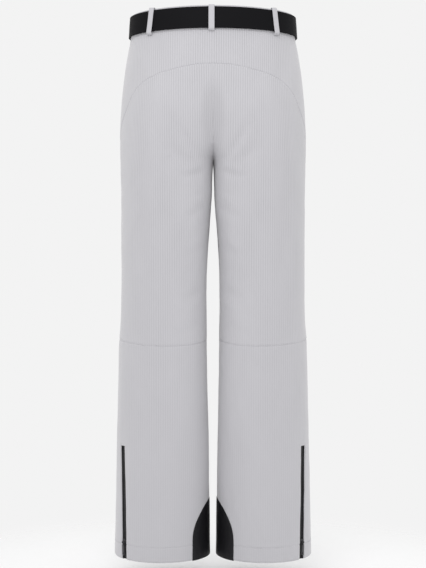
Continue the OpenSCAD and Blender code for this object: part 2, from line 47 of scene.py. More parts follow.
class Shader:
    """A procedural material: a principled shader and short calls for the nodes before it."""

    def __init__(self, name, roughness, metallic=0.0, sheen=0.0, specular=0.5):
        self.material = bpy.data.materials.new(name)
        self.material.use_nodes = True
        self.tree = self.material.node_tree
        self.out = self.tree.nodes["Principled BSDF"]
        for socket, value in (("Roughness", roughness), ("Metallic", metallic),
                              ("Sheen Weight", sheen), ("Specular IOR Level", specular)):
            self.out.inputs[socket].default_value = value
        if sheen:
            self.out.inputs["Sheen Roughness"].default_value = 0.6

    def add(self, kind, inputs=(), **settings):
        node = self.tree.nodes.new("ShaderNode" + kind)
        for key, value in settings.items():
            setattr(node, key, value)
        for socket, value in dict(inputs).items():
            if isinstance(value, bpy.types.NodeSocket):
                self.tree.links.new(value, node.inputs[socket])
            else:
                node.inputs[socket].default_value = value
        return node

    def math(self, operation, a, b=0.0, clamp=False):
        return self.add("Math", {0: a, 1: b}, operation=operation, use_clamp=clamp).outputs[0]

    def times(self, a, b, clamp=False):
        return self.math("MULTIPLY", a, b, clamp)

    def plus(self, a, b, clamp=False):
        return self.math("ADD", a, b, clamp)

    def ramp(self, value, start, end, low, high, kind="LINEAR"):
        """A value turned from start to end into low to high, and held beyond."""
        return self.add("MapRange", {"Value": value, "From Min": start, "From Max": end, "To Min": low,
                                     "To Max": high}, interpolation_type=kind).outputs[0]

    def coords(self, kind="UV"):
        return self.add("TexCoord").outputs[kind]

    def noise(self, where, scale, detail=2.0, stretch=(1, 1, 1)):
        placed = self.add("Mapping", {"Vector": where, "Scale": stretch}).outputs[0]
        return self.add("TexNoise", {"Vector": placed, "Scale": scale, "Detail": detail}).outputs["Fac"]

    def wave(self, where, period, wobble=None):
        """0 to 1 along a coordinate, once for each period in metres."""
        phase = self.times(where, 2 * math.pi / period)
        if wobble is not None:
            phase = self.plus(phase, wobble)
        return self.plus(self.times(self.math("SINE", phase), 0.5), 0.5)

    def mix(self, factor, a, b):
        node = self.add("Mix", {"Factor": factor}, data_type="RGBA")
        for socket, value in ((6, a), (7, b)):
            if isinstance(value, bpy.types.NodeSocket):
                self.tree.links.new(value, node.inputs[socket])
            else:
                node.inputs[socket].default_value = (*value, 1)
        return node.outputs[2]

    def finish(self, colour, height=None, distance=0.0002, roughness=None):
        self.tree.links.new(colour, self.out.inputs["Base Color"])
        if height is not None:
            relief = self.add("Bump", {"Height": height, "Distance": distance, "Strength": 1.0})
            self.tree.links.new(relief.outputs[0], self.out.inputs["Normal"])
        if roughness is not None:
            self.tree.links.new(roughness, self.out.inputs["Roughness"])
        return self.material


def shade(colour, factor):
    return tuple(c * factor for c in colour)


def spread_about(s, value, middle, reach):
    """A 0 to 1 value turned into middle +- reach."""
    return s.plus(s.times(value, 2 * reach), middle - reach)


RIB_FULL, RIB_LOW, RIB_FADED = -0.25, -0.95, 0.3  # the ribs and the painted shade in their grooves fade from one height to another; below, painted shade darkens the cloth towards the hem
PAINTED_SEAT_SHADE_SHIFT, PAINTED_SEAT_SHADE_SHAPE = (0, -0.11, 0.208), (42, 20, 15)  # place and size of the painted shade on the middle of the seat


def woven(name, colour, roughness, thread, depth, sheen=0.0, rib=None, mottle=0.1, specular=0.3,
          rib_painted_shade=0.05, rib_depth=1.0, painted_seat_shade=0.0):
    """Cloth: fine threads both ways, slow colour changes, and ribs down the grain if asked.

    thread and rib are periods in metres; the last argument is how much painted shade darkens the middle
    of the seat.
    """
    s = Shader(name, roughness, sheen=sheen, specular=specular)
    uv = s.coords()
    apart = s.add("SeparateXYZ", {"Vector": uv}).outputs
    fuzz = s.noise(uv, 2600, 3)
    wobble = s.times(s.noise(uv, 60, 2), 1.2)
    weave = s.times(s.wave(apart[0], thread), s.wave(apart[1], thread * 1.3, wobble))
    height = s.plus(s.times(weave, 0.5), s.times(fuzz, 0.5))
    slow = s.noise(s.coords("Object"), 7, 3)
    tone = s.mix(slow, shade(colour, 1 - mottle), shade(colour, 1 + mottle))
    if rib:
        ribs = s.wave(apart[0], rib, s.times(s.noise(uv, 14, 2, (1, 0.15, 1)), 2.2))
        groove = s.math("POWER", ribs, 0.6)
        kept = s.ramp(apart[1], RIB_LOW, RIB_FULL, RIB_FADED, 1.0)
        fine = s.noise(uv, 320, 2, (1, 0.3, 1))
        patchy = s.plus(s.times(s.noise(uv, 22, 2, (1, 0.4, 1)), 1.6), 0.2)
        # Painted shade: the cloth is coloured darker in the rib grooves, most where the ribs are kept.
        strength = s.times(s.times(kept, patchy), rib_painted_shade * 8)
        groove_painted_shade = s.times(s.math("SUBTRACT", 1.0, groove), strength)
        tone = s.mix(groove_painted_shade, tone, shade(colour, 0.55))
        streaks = s.times(fine, s.times(kept, 0.10))
        tone = s.mix(streaks, tone, shade(colour, 0.72))
        # Painted shade: the cloth is coloured darker towards the hem, where the ribs fade.
        painted_hem_shade = s.times(s.math("SUBTRACT", 1.0, kept), 0.13)
        tone = s.mix(painted_hem_shade, tone, shade(colour, 0.55))
        ridges = s.times(groove, s.times(kept, rib_depth))
        height = s.plus(ridges, s.times(height, 0.35))
    else:
        # Painted highlight: the cloth is coloured lighter where its threads rise.
        tone = s.mix(s.times(weave, 0.25), tone, shade(colour, 1.25))
    # Painted shade: the middle of the seat is coloured darker, standing in for shade there.
    if painted_seat_shade:
        moved = s.add("VectorMath", {0: s.coords("Object"), 1: PAINTED_SEAT_SHADE_SHIFT}, operation="ADD").outputs[0]
        scaled = s.add("VectorMath", {0: moved, 1: PAINTED_SEAT_SHADE_SHAPE}, operation="MULTIPLY").outputs[0]
        far = s.add("VectorMath", {0: scaled}, operation="LENGTH").outputs["Value"]
        near = s.ramp(far, 0.55, 1.25, painted_seat_shade, 0.0, "SMOOTHSTEP")
        tone = s.mix(near, tone, shade(colour, 0.5))
    rough = spread_about(s, fuzz, roughness, 0.06)
    return s.finish(tone, height, depth, roughness=rough)


def metal(name, colour, worn, roughness, metallic, specular=0.5):
    """Painted or plated metal with fine grain and wear on its high spots."""
    s = Shader(name, roughness, metallic, specular=specular)
    where = s.coords("Object")
    grain = s.noise(where, 900, 4)
    patches = s.noise(where, 160, 3)
    raised = s.add("NewGeometry").outputs["Pointiness"]
    edge = s.times(s.math("SUBTRACT", raised, 0.515, True), 9.0, True)
    wear = s.times(edge, s.plus(patches, 0.25, True))
    tone = s.mix(s.times(patches, 0.5), shade(colour, 0.8), shade(colour, 1.3))
    rough = spread_about(s, patches, roughness, 0.1)
    return s.finish(s.mix(wear, tone, worn), grain, 0.00003, roughness=rough)


GREY = (0.511, 0.504, 0.531)
# One material for each slot of the model
FINISH = {
    # The shell cloth's colour carries painted shade on the middle of the seat, in its rib grooves and
    # towards the hem.
    "shell": woven("ribbed_stretch_cloth", GREY, 0.85, 0.0009, 0.0002, sheen=0.48, rib=0.0044,
                   mottle=0.012, painted_seat_shade=0.2),
    "band": woven("smooth_stretch_cloth", GREY, 0.82, 0.0011, 0.00012, sheen=0.3, rib=0.0022,
                  mottle=0.012, rib_painted_shade=0.02, rib_depth=0.4),
    "black_cloth": woven("black_cloth", (0.012, 0.012, 0.014), 0.8, 0.0010, 0.00015, sheen=0.05,
                         mottle=0.15),
    "lining": woven("lining_taffeta", (0.30, 0.30, 0.32), 0.5, 0.0008, 0.00008, mottle=0.05,
                    specular=0.5),
    "webbing": woven("belt_webbing", (0.0048, 0.0046, 0.0058), 0.62, 0.0013, 0.00018, rib=0.0016,
                     rib_painted_shade=0.03, rib_depth=0.5, specular=0.09),
    "guard": woven("coated_guard_cloth", (0.0062, 0.0058, 0.0076), 0.55, 0.0018, 0.0002, mottle=0.12),
    "coil": woven("zip_nylon", (0.009, 0.009, 0.011), 0.42, 0.0008, 0.00005, specular=0.5),
    "elastic": woven("ribbed_elastic", (0.016, 0.016, 0.018), 0.7, 0.0010, 0.0002, rib=0.003),
    "zip_metal": metal("black_zip_metal", (0.008, 0.008, 0.009), (0.06, 0.06, 0.065), 0.42, 0.2,
                       specular=0.25),
    "buckle": metal("buckle_metal", (0.020, 0.020, 0.022), (0.22, 0.22, 0.23), 0.34, 0.7),
    "snap": metal("snap_nickel", (0.42, 0.41, 0.40), (0.7, 0.7, 0.7), 0.3, 1.0),
}
# CAD parts whose own shape is shown, with rounded edges
HARD_PARTS = {
    "zip_metal": [f"{kind}_{what}{tag}" for kind in ("ankle", "pocket") for what in ("slider", "pull")
                  for _, tag in SIDES] + ["fly_slider", "fly_pull"],
    "buckle": ["buckle_frame", "buckle_lever", "buckle_pin", "belt_tip"],
    "snap": ["snap_caps", "snap_sockets", "snap_studs"],
}


def finish_hard_parts():
    for slot, nodes in HARD_PARTS.items():
        for node in nodes:
            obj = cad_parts[node]
            obj.data.materials.clear()
            obj.data.materials.append(FINISH[slot])
            edges = obj.modifiers.new("rounded_edges", "BEVEL")
            edges.width, edges.segments, edges.limit_method = 0.00022, 2, "ANGLE"
            edges.angle_limit = math.radians(40)
            obj.modifiers.new("even_shading", "WEIGHTED_NORMAL")


# ----
# The trousers' shape, in millimetres: depth below the waist edge, and an angle round one leg from
# its side seam (0) over the back (positive) or the front (negative) to its inseam (180).

SIDE_LEN = 1043.0  # waist edge to hem
RISE = 285.0  # waist edge to crotch
BAND_H = 45.0  # the waistband's height
WAIST, HIP, KNEE, HEM = 157.0, 180.0, 182.0, 191.0  # half widths over both legs
BACK_RISE, LIFT_DEPTH, HEM_DROP = 3.0, 110.0, 3.0
GAP_MAX = 12.5  # half the gap between the legs

# Values by depth: half width, half gap, how far the legs are apart (0 to 1), depth in front and
# behind, and how square a leg's section is towards the other leg
OUTER = [(0, WAIST), (BAND_H, WAIST + 3.2), (75, WAIST + 8.8), (110, WAIST + 14), (170, HIP - 3),
         (230, HIP + 0.2), (300, HIP - 0.2), (360, HIP - 1.8), (440, HIP - 1.6), (520, HIP - 2.2),
         (590, KNEE - 3), (633, KNEE), (835, HEM - 4.4), (SIDE_LEN, HEM)]
GAP = [(RISE, 0), (RISE + 15, 1.2), (360, 3.2), (440, GAP_MAX - 3), (500, GAP_MAX),
       (630, GAP_MAX), (835, 9), (940, 8), (SIDE_LEN, 7)]
CLEFT = [(0, 0), (60, 0), (120, 0.22), (180, 0.55), (240, 0.83), (RISE, 1)]
FRONT = [(0, 92), (BAND_H, 94), (110, 97), (180, 101), (240, 101), (300, 98),
         (440, 92), (630, 86), (835, 82), (SIDE_LEN, 84)]
BACK = [(0, 94), (BAND_H, 98), (110, 111), (180, 120), (240, 118), (300, 111),
        (440, 95), (630, 83), (835, 84), (SIDE_LEN, 86)]
SQUARE = [(0, 2), (60, 2), (180, 3.1), (RISE, 3.8), (440, 3.3), (700, 2.7), (900, 2.1),
          (SIDE_LEN, 2)]

# Seams: (share of the way from side seam to centre or inseam, depth)
YOKE_SEAM = [(0, 246), (0.26, 187), (0.303, 172.4), (0.36, 158.5), (0.423, 146.5), (0.5, 136.5),
             (0.56, 131), (0.63, 125.3), (0.773, 117.3), (0.88, 111.8), (0.95, 110), (1, 109.5)]
KNEE_SEAM_BACK = [(0, 626.5), (0.5, 638), (1, 628.5)]
KNEE_TOP_FRONT = [(0, 552), (0.5, 540), (1, 552)]
KNEE_LOW_FRONT = [(0, 700), (0.5, 712), (1, 700)]
HEM_LINE = [(0, SIDE_LEN), (1, SIDE_LEN)]

# Zips: (angle, depth) at the lower end and at the upper end
ANKLE_ZIP = ((40.1, SIDE_LEN - 1), (31.9, 830))
POCKET_ZIP = ((-24, 205), (-30, 62))
ANKLE_SLIT, POCKET_SLIT = (6.8, 6.7), (5.2, 5.2)  # half widths at the two ends
HEM_FOLD = 28.0  # height of the hem's stitched line
# The guards' half width as an angle, depth of the arch's tip and of its ends, and its roundness
GUARD_TURN, GUARD_TIP, GUARD_SHOULDER, GUARD_POWER = 49.5, 934.0, 1008.0, 0.53


def smooth(table, x):
    """A smooth curve through a table's points."""
    t = np.asarray(table, float)
    x = np.clip(np.asarray(x, float), t[0, 0], t[-1, 0])
    i = np.clip(np.searchsorted(t[:, 0], x, "right") - 1, 0, len(t) - 2)
    at = np.arange(len(t))
    before, after = np.maximum(at - 1, 0), np.minimum(at + 1, len(t) - 1)
    slope = (t[after, 1] - t[before, 1]) / (t[after, 0] - t[before, 0])
    h = t[i + 1, 0] - t[i, 0]
    s = (x - t[i, 0]) / h
    return ((2 * s**3 - 3 * s**2 + 1) * t[i, 1] + (s**3 - 2 * s**2 + s) * h * slope[i]
            + (3 * s**2 - 2 * s**3) * t[i + 1, 1] + (s**3 - s**2) * h * slope[i + 1])


def cleft(d):
    return np.where(d >= RISE, 1.0, smooth(CLEFT, d))


def rad_x(d):
    return np.where(d < RISE, smooth(OUTER, d) / (1 + cleft(d)),
                    (smooth(OUTER, d) - smooth(GAP, d)) / 2)


def mid_x(d):
    return np.where(d < RISE, cleft(d) * rad_x(d), (smooth(OUTER, d) + smooth(GAP, d)) / 2)


def rad_y(th, d):
    return np.where(np.sin(np.radians(th)) < 0, smooth(FRONT, d), smooth(BACK, d))


def waist_lift(s, d):
    """The waist edge rises towards the centre back: s is 0 at the side and 1 at the centre back."""
    return np.where((s > 0) & (d < LIFT_DEPTH), BACK_RISE * s * s * (1 - d / LIFT_DEPTH), 0.0)


def hem_depth(th):
    return SIDE_LEN + HEM_DROP * np.clip(np.sin(np.radians(th)), 0, None)


def leg(th, d, off=0.0):
    """Points of the left leg in mm, "off" outside the cloth's outer face."""
    th, d, off = np.broadcast_arrays(*(np.asarray(v, float) for v in (th, d, off)))
    c, s = np.cos(np.radians(th)), np.sin(np.radians(th))
    e = np.where(c < 0, 2 / smooth(SQUARE, d), 1.0)
    x = mid_x(d) + (rad_x(d) + off) * np.sign(c) * np.abs(c) ** e
    s = np.sign(s) * np.abs(s) ** e
    return np.stack([x, (rad_y(th, d) + off) * s, waist_lift(s, d) - d], -1)


def angle_at(d, x=0.0):
    """The angle at which a leg's outer face reaches the plane at x."""
    d = np.asarray(d, float)
    q = (mid_x(d) - x) / rad_x(d)
    bent = -np.clip(q, 0, 1) ** (smooth(SQUARE, d) / 2)
    return np.degrees(np.arccos(np.clip(np.where(q <= 0, -q, bent), -1, 1)))


def waist(turn, d, off=0.0):
    """Points round the whole waist in mm: turn 0 is the left side, 90 the centre back."""
    turn, d, off = np.broadcast_arrays(*(np.asarray(v, float) for v in (turn, d, off)))
    c, s = np.cos(np.radians(turn)), np.sin(np.radians(turn))
    depth = np.where(s < 0, smooth(FRONT, d), smooth(BACK, d))
    return np.stack([(smooth(OUTER, d) + off) * c, (depth + off) * s, waist_lift(s, d) - d], -1)


def zip_angle(zip_line, d):
    """The angle of a straight zip at a depth."""
    (th0, d0), (th1, d1) = zip_line
    d = np.clip(d, d1, d0)
    low, high = leg(th0, d0), leg(th1, d1)
    p = low + (high - low) * ((d - d0) / (d1 - d0))[..., None]
    side = math.copysign(90, th0)
    return np.degrees(np.arctan2(p[..., 1] / rad_y(side, d), (p[..., 0] - mid_x(d)) / rad_x(d)))


def arc_radius(th, d):
    """Distance along the cloth for each radian round a leg."""
    c, s = np.cos(np.radians(th)), np.sin(np.radians(th))
    return np.hypot(rad_x(d) * s, rad_y(th, d) * c)


def bump(x, width):
    return np.exp(-((x / width) ** 2))


# ----
# Meshes

def finish_mesh(name, verts_mm, faces, uv=None, mirrored=False):
    """A smooth-shaded mesh object from points in mm. uv has one pair for each vertex."""
    pts = np.asarray(verts_mm, float) * MM
    if mirrored:
        pts = pts * np.array([-1.0, 1.0, 1.0])
        faces = [tuple(reversed(f)) for f in faces]
    mesh = bpy.data.meshes.new(name)
    mesh.from_pydata(pts.tolist(), [], [tuple(int(i) for i in f) for f in faces])
    if uv is not None:
        layer = mesh.uv_layers.new(name="UVMap")
        loops = np.empty(len(mesh.loops), np.int32)
        mesh.loops.foreach_get("vertex_index", loops)
        layer.data.foreach_set("uv", np.asarray(uv, np.float32)[loops].ravel())
    mesh.polygons.foreach_set("use_smooth", [True] * len(mesh.polygons))
    mesh.update()
    obj = bpy.data.objects.new(name, mesh)
    bpy.context.scene.collection.objects.link(obj)
    return obj


def sheet_mesh(name, outer, inner, uv, present=None, closed=False, mirrored=False, flip=False):
    """A closed sheet between two grids of points (rows x columns x 3), where cells are present."""
    rows, cols = outer.shape[:2]
    cells = cols if closed else cols - 1
    if present is None:
        present = np.ones((rows - 1, cells), bool)
    j, i = np.nonzero(present)
    right = (i + 1) % cols
    count = rows * cols
    a, b, c, d = j * cols + i, j * cols + right, (j + 1) * cols + right, (j + 1) * cols + i
    quads = [np.stack([a, d, c, b], 1), np.stack([a, b, c, d], 1) + count]
    padded = np.pad(present, 1)
    if closed:
        padded[1:-1, 0], padded[1:-1, -1] = present[:, -1], present[:, 0]
    for dj, di, p, q in ((-1, 0, a, b), (0, 1, b, c), (1, 0, c, d), (0, -1, d, a)):
        open_side = ~padded[j + 1 + dj, i + 1 + di]
        p, q = p[open_side], q[open_side]
        quads.append(np.stack([p, q, q + count, p + count], 1))
    faces = np.concatenate(quads)
    if flip:
        faces = faces[:, ::-1]
    verts = np.concatenate([outer.reshape(-1, 3), inner.reshape(-1, 3)])
    used = np.unique(faces)
    index = np.full(len(verts), -1)
    index[used] = np.arange(len(used))
    both = np.concatenate([uv.reshape(-1, 2)] * 2)
    return finish_mesh(name, verts[used], index[faces].tolist(), both[used], mirrored)


def arc_length(line):
    return np.concatenate([[0], np.cumsum(np.linalg.norm(np.diff(line, axis=0), axis=1))])


def arc_lengths(grid, axis):
    """Distance along a grid's rows (axis 1) or columns (axis 0) from its first point."""
    gaps = np.linalg.norm(np.diff(grid, axis=axis), axis=-1)
    pad = [(0, 0), (0, 0)]
    pad[axis] = (1, 0)
    return np.pad(np.cumsum(gaps, axis=axis), pad)


def spread(length, step):
    """Shares from 0 to 1 along a length in mm, fine at both ends."""
    ends = np.array([0.0, 0.7, 1.5, 2.4, 3.5, 5.0, 7.0, 9.5])
    n = max(2, int(round((length - 2 * ends[-1]) / step)))
    middle = np.linspace(ends[-1], length - ends[-1], n + 1)
    return np.concatenate([ends[:-1], middle, length - ends[::-1][1:]]) / length


def noise(x, y, size, seed):
    """Smooth noise about -1 to 1 from a few waves, with features about "size" across."""
    r = np.random.default_rng(seed)
    total = 0
    for _ in range(7):
        angle, phase = r.uniform(0, 2 * np.pi, 2)
        k = 2 * np.pi / (size * r.uniform(0.8, 2.2))
        total = total + np.sin(k * (x * np.cos(angle) + y * np.sin(angle)) + phase)
    return total / 3.2


# ----
# Folds and seams of the outer cloth, in mm outwards

# Back folds: (x, depth) of both ends, width and height; x from the middle of the trousers
BACK_FOLDS = [
    (78, 205, 34, 283, 9, -2.5), (60, 232, 26, 296, 6, -1.8), (96, 262, 40, 300, 10, -1.6),
    (14, 306, 60, 320, 7, -1.8), (12, 372, 56, 398, 8, -1.1), (12, 352, 44, 366, 6, 0.8),
    (16, 446, 58, 470, 8, -0.9), (18, 526, 62, 552, 9, -1.0), (18, 545, 52, 574, 7, 0.7),
    (170, 600, 120, 645, 12, -0.8), (24, 592, 80, 622, 11, -0.9), (40, 655, 110, 690, 14, -0.8),
    (150, 700, 110, 780, 16, -0.7), (40, 800, 70, 900, 16, -0.8),
]
FRONT_FOLDS = [
    (120, 250, 30, 292, 9, -1.9), (96, 226, 22, 274, 7, -1.4), (100, 300, 24, 318, 8, -1.4),
    (80, 340, 18, 356, 8, -1.0), (150, 560, 60, 575, 9, -1.2), (160, 690, 60, 676, 10, -1.2),
    (140, 735, 70, 760, 12, -1.0), (60, 820, 120, 900, 18, -0.9), (30, 480, 60, 530, 11, -0.8),
]


def folds(p, front):
    """Relief of the drawn folds at points p of the left leg."""
    x, d = p[..., 0], -p[..., 2]
    total = np.zeros_like(x)
    for x0, d0, x1, d1, width, height in FRONT_FOLDS if front else BACK_FOLDS:
        along = np.array([x1 - x0, d1 - d0], float)
        length = np.hypot(*along)
        along /= length
        t = (x - x0) * along[0] + (d - d0) * along[1]
        arch = np.sin(np.pi * np.clip(t / length, 0, 1))
        across = -(x - x0) * along[1] + (d - d0) * along[0] - 3.0 * arch
        faded = arch ** 0.8 * (t > 0) * (t < length)
        total += height * faded * (bump(across, width) - 0.45 * bump(across + 1.5 * width, width))
    return total


def cloth_relief(p, front, edge, seed):
    """Folds, slow unevenness, and the roll and pucker of the cloth at its seams."""
    x, d = p[..., 0], -p[..., 2]
    slow = 0.55 * noise(x * 1.6, d * 0.45, 70, seed)
    slow = slow + 0.22 * noise(x * 1.5, d * 0.7, 26, seed + 5)
    seam = -0.45 * bump(edge, 1.2) + 0.16 * bump(edge - 5.0, 3.6)
    pucker = 0.12 * np.sin(d / 1.9 + x / 2.3 + 3 * noise(x, d, 30, seed + 9)) * bump(edge - 2, 3.5)
    return folds(p, front) * (1 - 0.6 * bump(edge, 6)) + slow * (1 - bump(edge, 5)) + seam + pucker


CLOTH_T = 1.1  # thickness
GRAIN_X = 88.0  # the grain runs straight down this plane of each leg
BRIDGE = 14.0  # half width of the cloth that spans the cleft
LEFT_MIN, CENTRE_X = 0.02, 0.01  # a left panel's least x, and that of its centre edge
GRIDS = {}  # each piece's outer grid, for the stitching


def back_at(x, d):
    """How far back the seat reaches at x."""
    n = smooth(SQUARE, d)
    q = np.clip((mid_x(d) - np.abs(x)) / rad_x(d), 0, 1)
    return smooth(BACK, d) * (1 - q**n) ** (1 / n)


def bridge(p):
    """The cloth spans the cleft between the two sides of the seat, down to just above the crotch."""
    x, d = p[..., 0], -p[..., 2]
    t = np.clip((RISE - 2 - d) / 30, 0, 1)
    return 0.7 * t * t * (3 - 2 * t) * (back_at(np.hypot(x, BRIDGE), d) - back_at(x, d))


def place(obj, *nodes, slot):
    """Rides on the root body, stands for CAD nodes, and takes a material slot's finish."""
    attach(obj, ROOT)
    if nodes:
        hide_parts(*nodes)
    obj.data.materials.append(FINISH[slot])


def cloth(node, slot, outer, inner, base, side=1, held="stretched", rests_on=(), grain=None, **mesh):
    """A node's cloth between two grids, measured on the grid "base".

    Its grain runs down the plane at x = grain, or else down its middle column.
    """
    end = len(node) - 2 * node.endswith(("_l", "_r"))
    across, down = arc_lengths(base, 1), arc_lengths(base, 0)
    if grain is None:
        start = across[:, base.shape[1] // 2]
    else:
        start = np.array([np.interp(-grain, -row_x, row) for row_x, row in zip(base[..., 0], across)])
    uv = np.stack([(across - start[:, None]) * MM, base[..., 2] * MM], -1)
    obj = sheet_mesh(node[:end] + "_cloth" + node[end:], outer, inner, uv, mirrored=side < 0, **mesh)
    place(obj, node, slot=slot)


def shell_panel(node, side, angles, depths, front, seed, present=None, extra=None):
    """One panel of the outer cloth from grids of angles and depths. extra adds to its relief."""
    base = leg(angles, depths)
    across, down = arc_lengths(base, 1), arc_lengths(base, 0)
    inseam = across[:, -1:] - across + (0 if front else 4)
    edge = np.minimum(np.minimum(across, inseam), np.minimum(down, down[-1:] - down))
    relief = cloth_relief(base, front, edge, seed)
    if extra is not None:
        relief = relief + extra(base, angles, depths)
    outer = leg(angles, depths, relief)
    inner = leg(angles, depths, relief - CLOTH_T)
    centre = (np.arange(depths.shape[1]) == depths.shape[1] - 1) & (depths < RISE)
    for layer in (outer, inner):
        layer[..., 0] = np.maximum(layer[..., 0], LEFT_MIN)
        layer[centre, 0] = CENTRE_X
        if not front:
            layer[..., 1] += bridge(layer)
    GRIDS[node] = outer
    cloth(node, "shell", outer, inner, base, side, present=present, flip=front, grain=GRAIN_X)


def half_slit(zip_line, half, depths):
    """Half the width of a zip's slit at a depth, from its two ends' values."""
    (_, low), (_, high) = zip_line
    return half[0] + (half[1] - half[0]) * np.clip((low - depths) / (low - high), 0, 1)


def split_angles(us, depths, zip_line, half):
    """Angles of a panel with a zip slit: us 0-1 one side, 1-2 the slit, 2-3 the other side."""
    facing = math.copysign(1, zip_line[0][0])
    z = np.abs(zip_angle(zip_line, depths))
    s = np.degrees(half_slit(zip_line, half, depths) / arc_radius(z * facing, depths))
    u = us[None, :]
    beyond = z + s + (u - 2) * (angle_at(depths) - z - s)
    return facing * np.where(u <= 1, u * (z - s), np.where(u <= 2, z - s + (u - 1) * 2 * s, beyond))


def slit_roll(zip_line, half, d_top, d_low):
    """The cloth turns in along a zip's slit, with a row of topstitching beside it."""
    def relief(base, angles, depths):
        z = zip_angle(zip_line, depths)
        away = np.abs(angles - z) * np.pi / 180 * arc_radius(z, depths)
        away = away - half_slit(zip_line, half, depths)
        past = np.minimum(np.abs(depths - d_top), np.abs(depths - d_low))
        near = np.where((depths > d_top) & (depths < d_low), 1.0, bump(past, 4))
        return near * (-0.7 * bump(away, 1.4) + 0.3 * bump(away - 4.5, 2.5)
                       - 0.2 * bump(away - 7.5, 1.2))
    return relief


STEP = 4.5  # the grids' mesh size
# Rows across the hem's stitched line
FOLD_REACH = 3.0
FOLD_ROWS = (np.array([-3, -1.7, -0.9, -0.3, 0.3, 0.9, 1.7, 3]) + FOLD_REACH) / (2 * FOLD_REACH)
# Columns before the slits and rows above or beside them
CALF_LEAD, FRONT_LEAD = spread(50, STEP), spread(48, STEP)
CALF_UPPER, POCKET_SPAN = spread(200, STEP), spread(143, STEP)
POCKET_ROWS = 7  # rows from the waistband to the pocket's upper end
LOW_ROWS = 480.0  # from here down the front thigh's rows bend to its lower seam


def thigh_grid():
    """Back thigh: the centre seam turns into the inseam at the crotch."""
    us = spread(290, STEP)
    above = 1 - (1 - spread(180, STEP)) ** 1.25
    below = spread(345, STEP) ** 1.15
    top, low = smooth(YOKE_SEAM, us), smooth(KNEE_SEAM_BACK, us)
    crotch = RISE + 25 * (1 - us)
    depths = np.concatenate([
        top + (crotch - top) * above[:, None],
        crotch + (low - crotch) * below[1:, None],
    ])
    return us[None, :] * angle_at(depths), depths


def rows_through(levels, shares):
    """Rows of depths from each level, with a depth for each column, to the next at given shares."""
    rows = [levels[0][None, :]]
    for start, end, share in zip(levels, levels[1:], shares):
        rows.append(start + (end - start) * share[1:, None])
    return np.concatenate(rows)


def calf_grid():
    """Back calf, slit for the ankle zip."""
    us = np.concatenate([CALF_LEAD, 2 + spread(230, STEP)])
    share = np.abs(split_angles(us, np.array([[632.0]]), ANKLE_ZIP, ANKLE_SLIT))[0] / 180
    top = smooth(KNEE_SEAM_BACK, share)
    low = hem_depth(split_angles(us, np.array([[SIDE_LEN]]), ANKLE_ZIP, ANKLE_SLIT))[0]
    zip_top = np.full(len(us), float(ANKLE_ZIP[1][1]))
    levels = [top, zip_top, low - HEM_FOLD - FOLD_REACH, low - HEM_FOLD + FOLD_REACH, low]
    depths = rows_through(levels, [CALF_UPPER, spread(182, STEP), FOLD_ROWS, spread(25, STEP)])
    present = np.ones((len(depths) - 1, len(us) - 1), bool)
    present[len(CALF_UPPER) - 1:, len(CALF_LEAD) - 1] = False
    return split_angles(us, depths, ANKLE_ZIP, ANKLE_SLIT), depths, present


def front_grid():
    """Front thigh, slit for the hand pocket."""
    us = np.concatenate([FRONT_LEAD, 2 + spread(235, STEP)])
    share = np.abs(split_angles(us, np.array([[545.0]]), POCKET_ZIP, POCKET_SLIT))[0] / 180
    low = smooth(KNEE_TOP_FRONT, share)
    zip_top, zip_low = POCKET_ZIP[1][1], POCKET_ZIP[0][1]
    rows = np.concatenate([
        BAND_H + (zip_top - BAND_H) * np.linspace(0, 1, POCKET_ROWS + 1)[:-1],
        zip_top + (zip_low - zip_top) * POCKET_SPAN[:-1],
        zip_low + (RISE - zip_low) * (1 - (1 - np.linspace(0, 1, 24)[:-1]) ** 1.4),
        RISE + (LOW_ROWS - RISE) * np.linspace(0, 1, 48)[:-1] ** 1.2,
    ])
    depths = np.concatenate([
        np.repeat(rows[:, None], len(us), 1),
        LOW_ROWS + (low - LOW_ROWS)[None, :] * spread(65, STEP)[:, None],
    ])
    present = np.ones((len(depths) - 1, len(us) - 1), bool)
    present[POCKET_ROWS:POCKET_ROWS + len(POCKET_SPAN) - 1, len(FRONT_LEAD) - 1] = False
    return split_angles(us, depths, POCKET_ZIP, POCKET_SLIT), depths, present


def band_grid(top, low, height, fold=False):
    """Front knee or shin, between two seams. fold adds the rows at the hem's stitched line."""
    us = spread(275, STEP)
    t, b = smooth(top, us), smooth(low, us)
    levels, shares = [t, b], [spread(height, STEP)]
    if fold:
        levels[1:1] = [b - HEM_FOLD - FOLD_REACH, b - HEM_FOLD + FOLD_REACH]
        shares += [FOLD_ROWS, spread(25, STEP)]
    depths = rows_through(levels, shares)
    return -us[None, :] * angle_at(depths), depths


def make_leg_panels(side, tag):
    """The outer panels of one leg. side is 1 on the left and -1 on the right."""
    seed = 20 if side > 0 else 60
    shell_panel("back_thigh" + tag, side, *thigh_grid(), False, seed)
    angles, depths, present = calf_grid()
    shell_panel("back_calf" + tag, side, angles, depths, False, seed + 1, present,
                hem_and(slit_roll(ANKLE_ZIP, ANKLE_SLIT, ANKLE_ZIP[1][1], SIDE_LEN + 60)))
    angles, depths, present = front_grid()
    shell_panel("front_thigh" + tag, side, angles, depths, True, seed + 2, present,
                fly_and(slit_roll(POCKET_ZIP, POCKET_SLIT, POCKET_ZIP[1][1], POCKET_ZIP[0][1]),
                        side))
    shell_panel("front_knee" + tag, side, *band_grid(KNEE_TOP_FRONT, KNEE_LOW_FRONT, 160), True,
                seed + 3, extra=knee_swell)
    shell_panel("front_shin" + tag, side, *band_grid(KNEE_LOW_FRONT, HEM_LINE, 310, True), True,
                seed + 4, extra=hem_and(None))


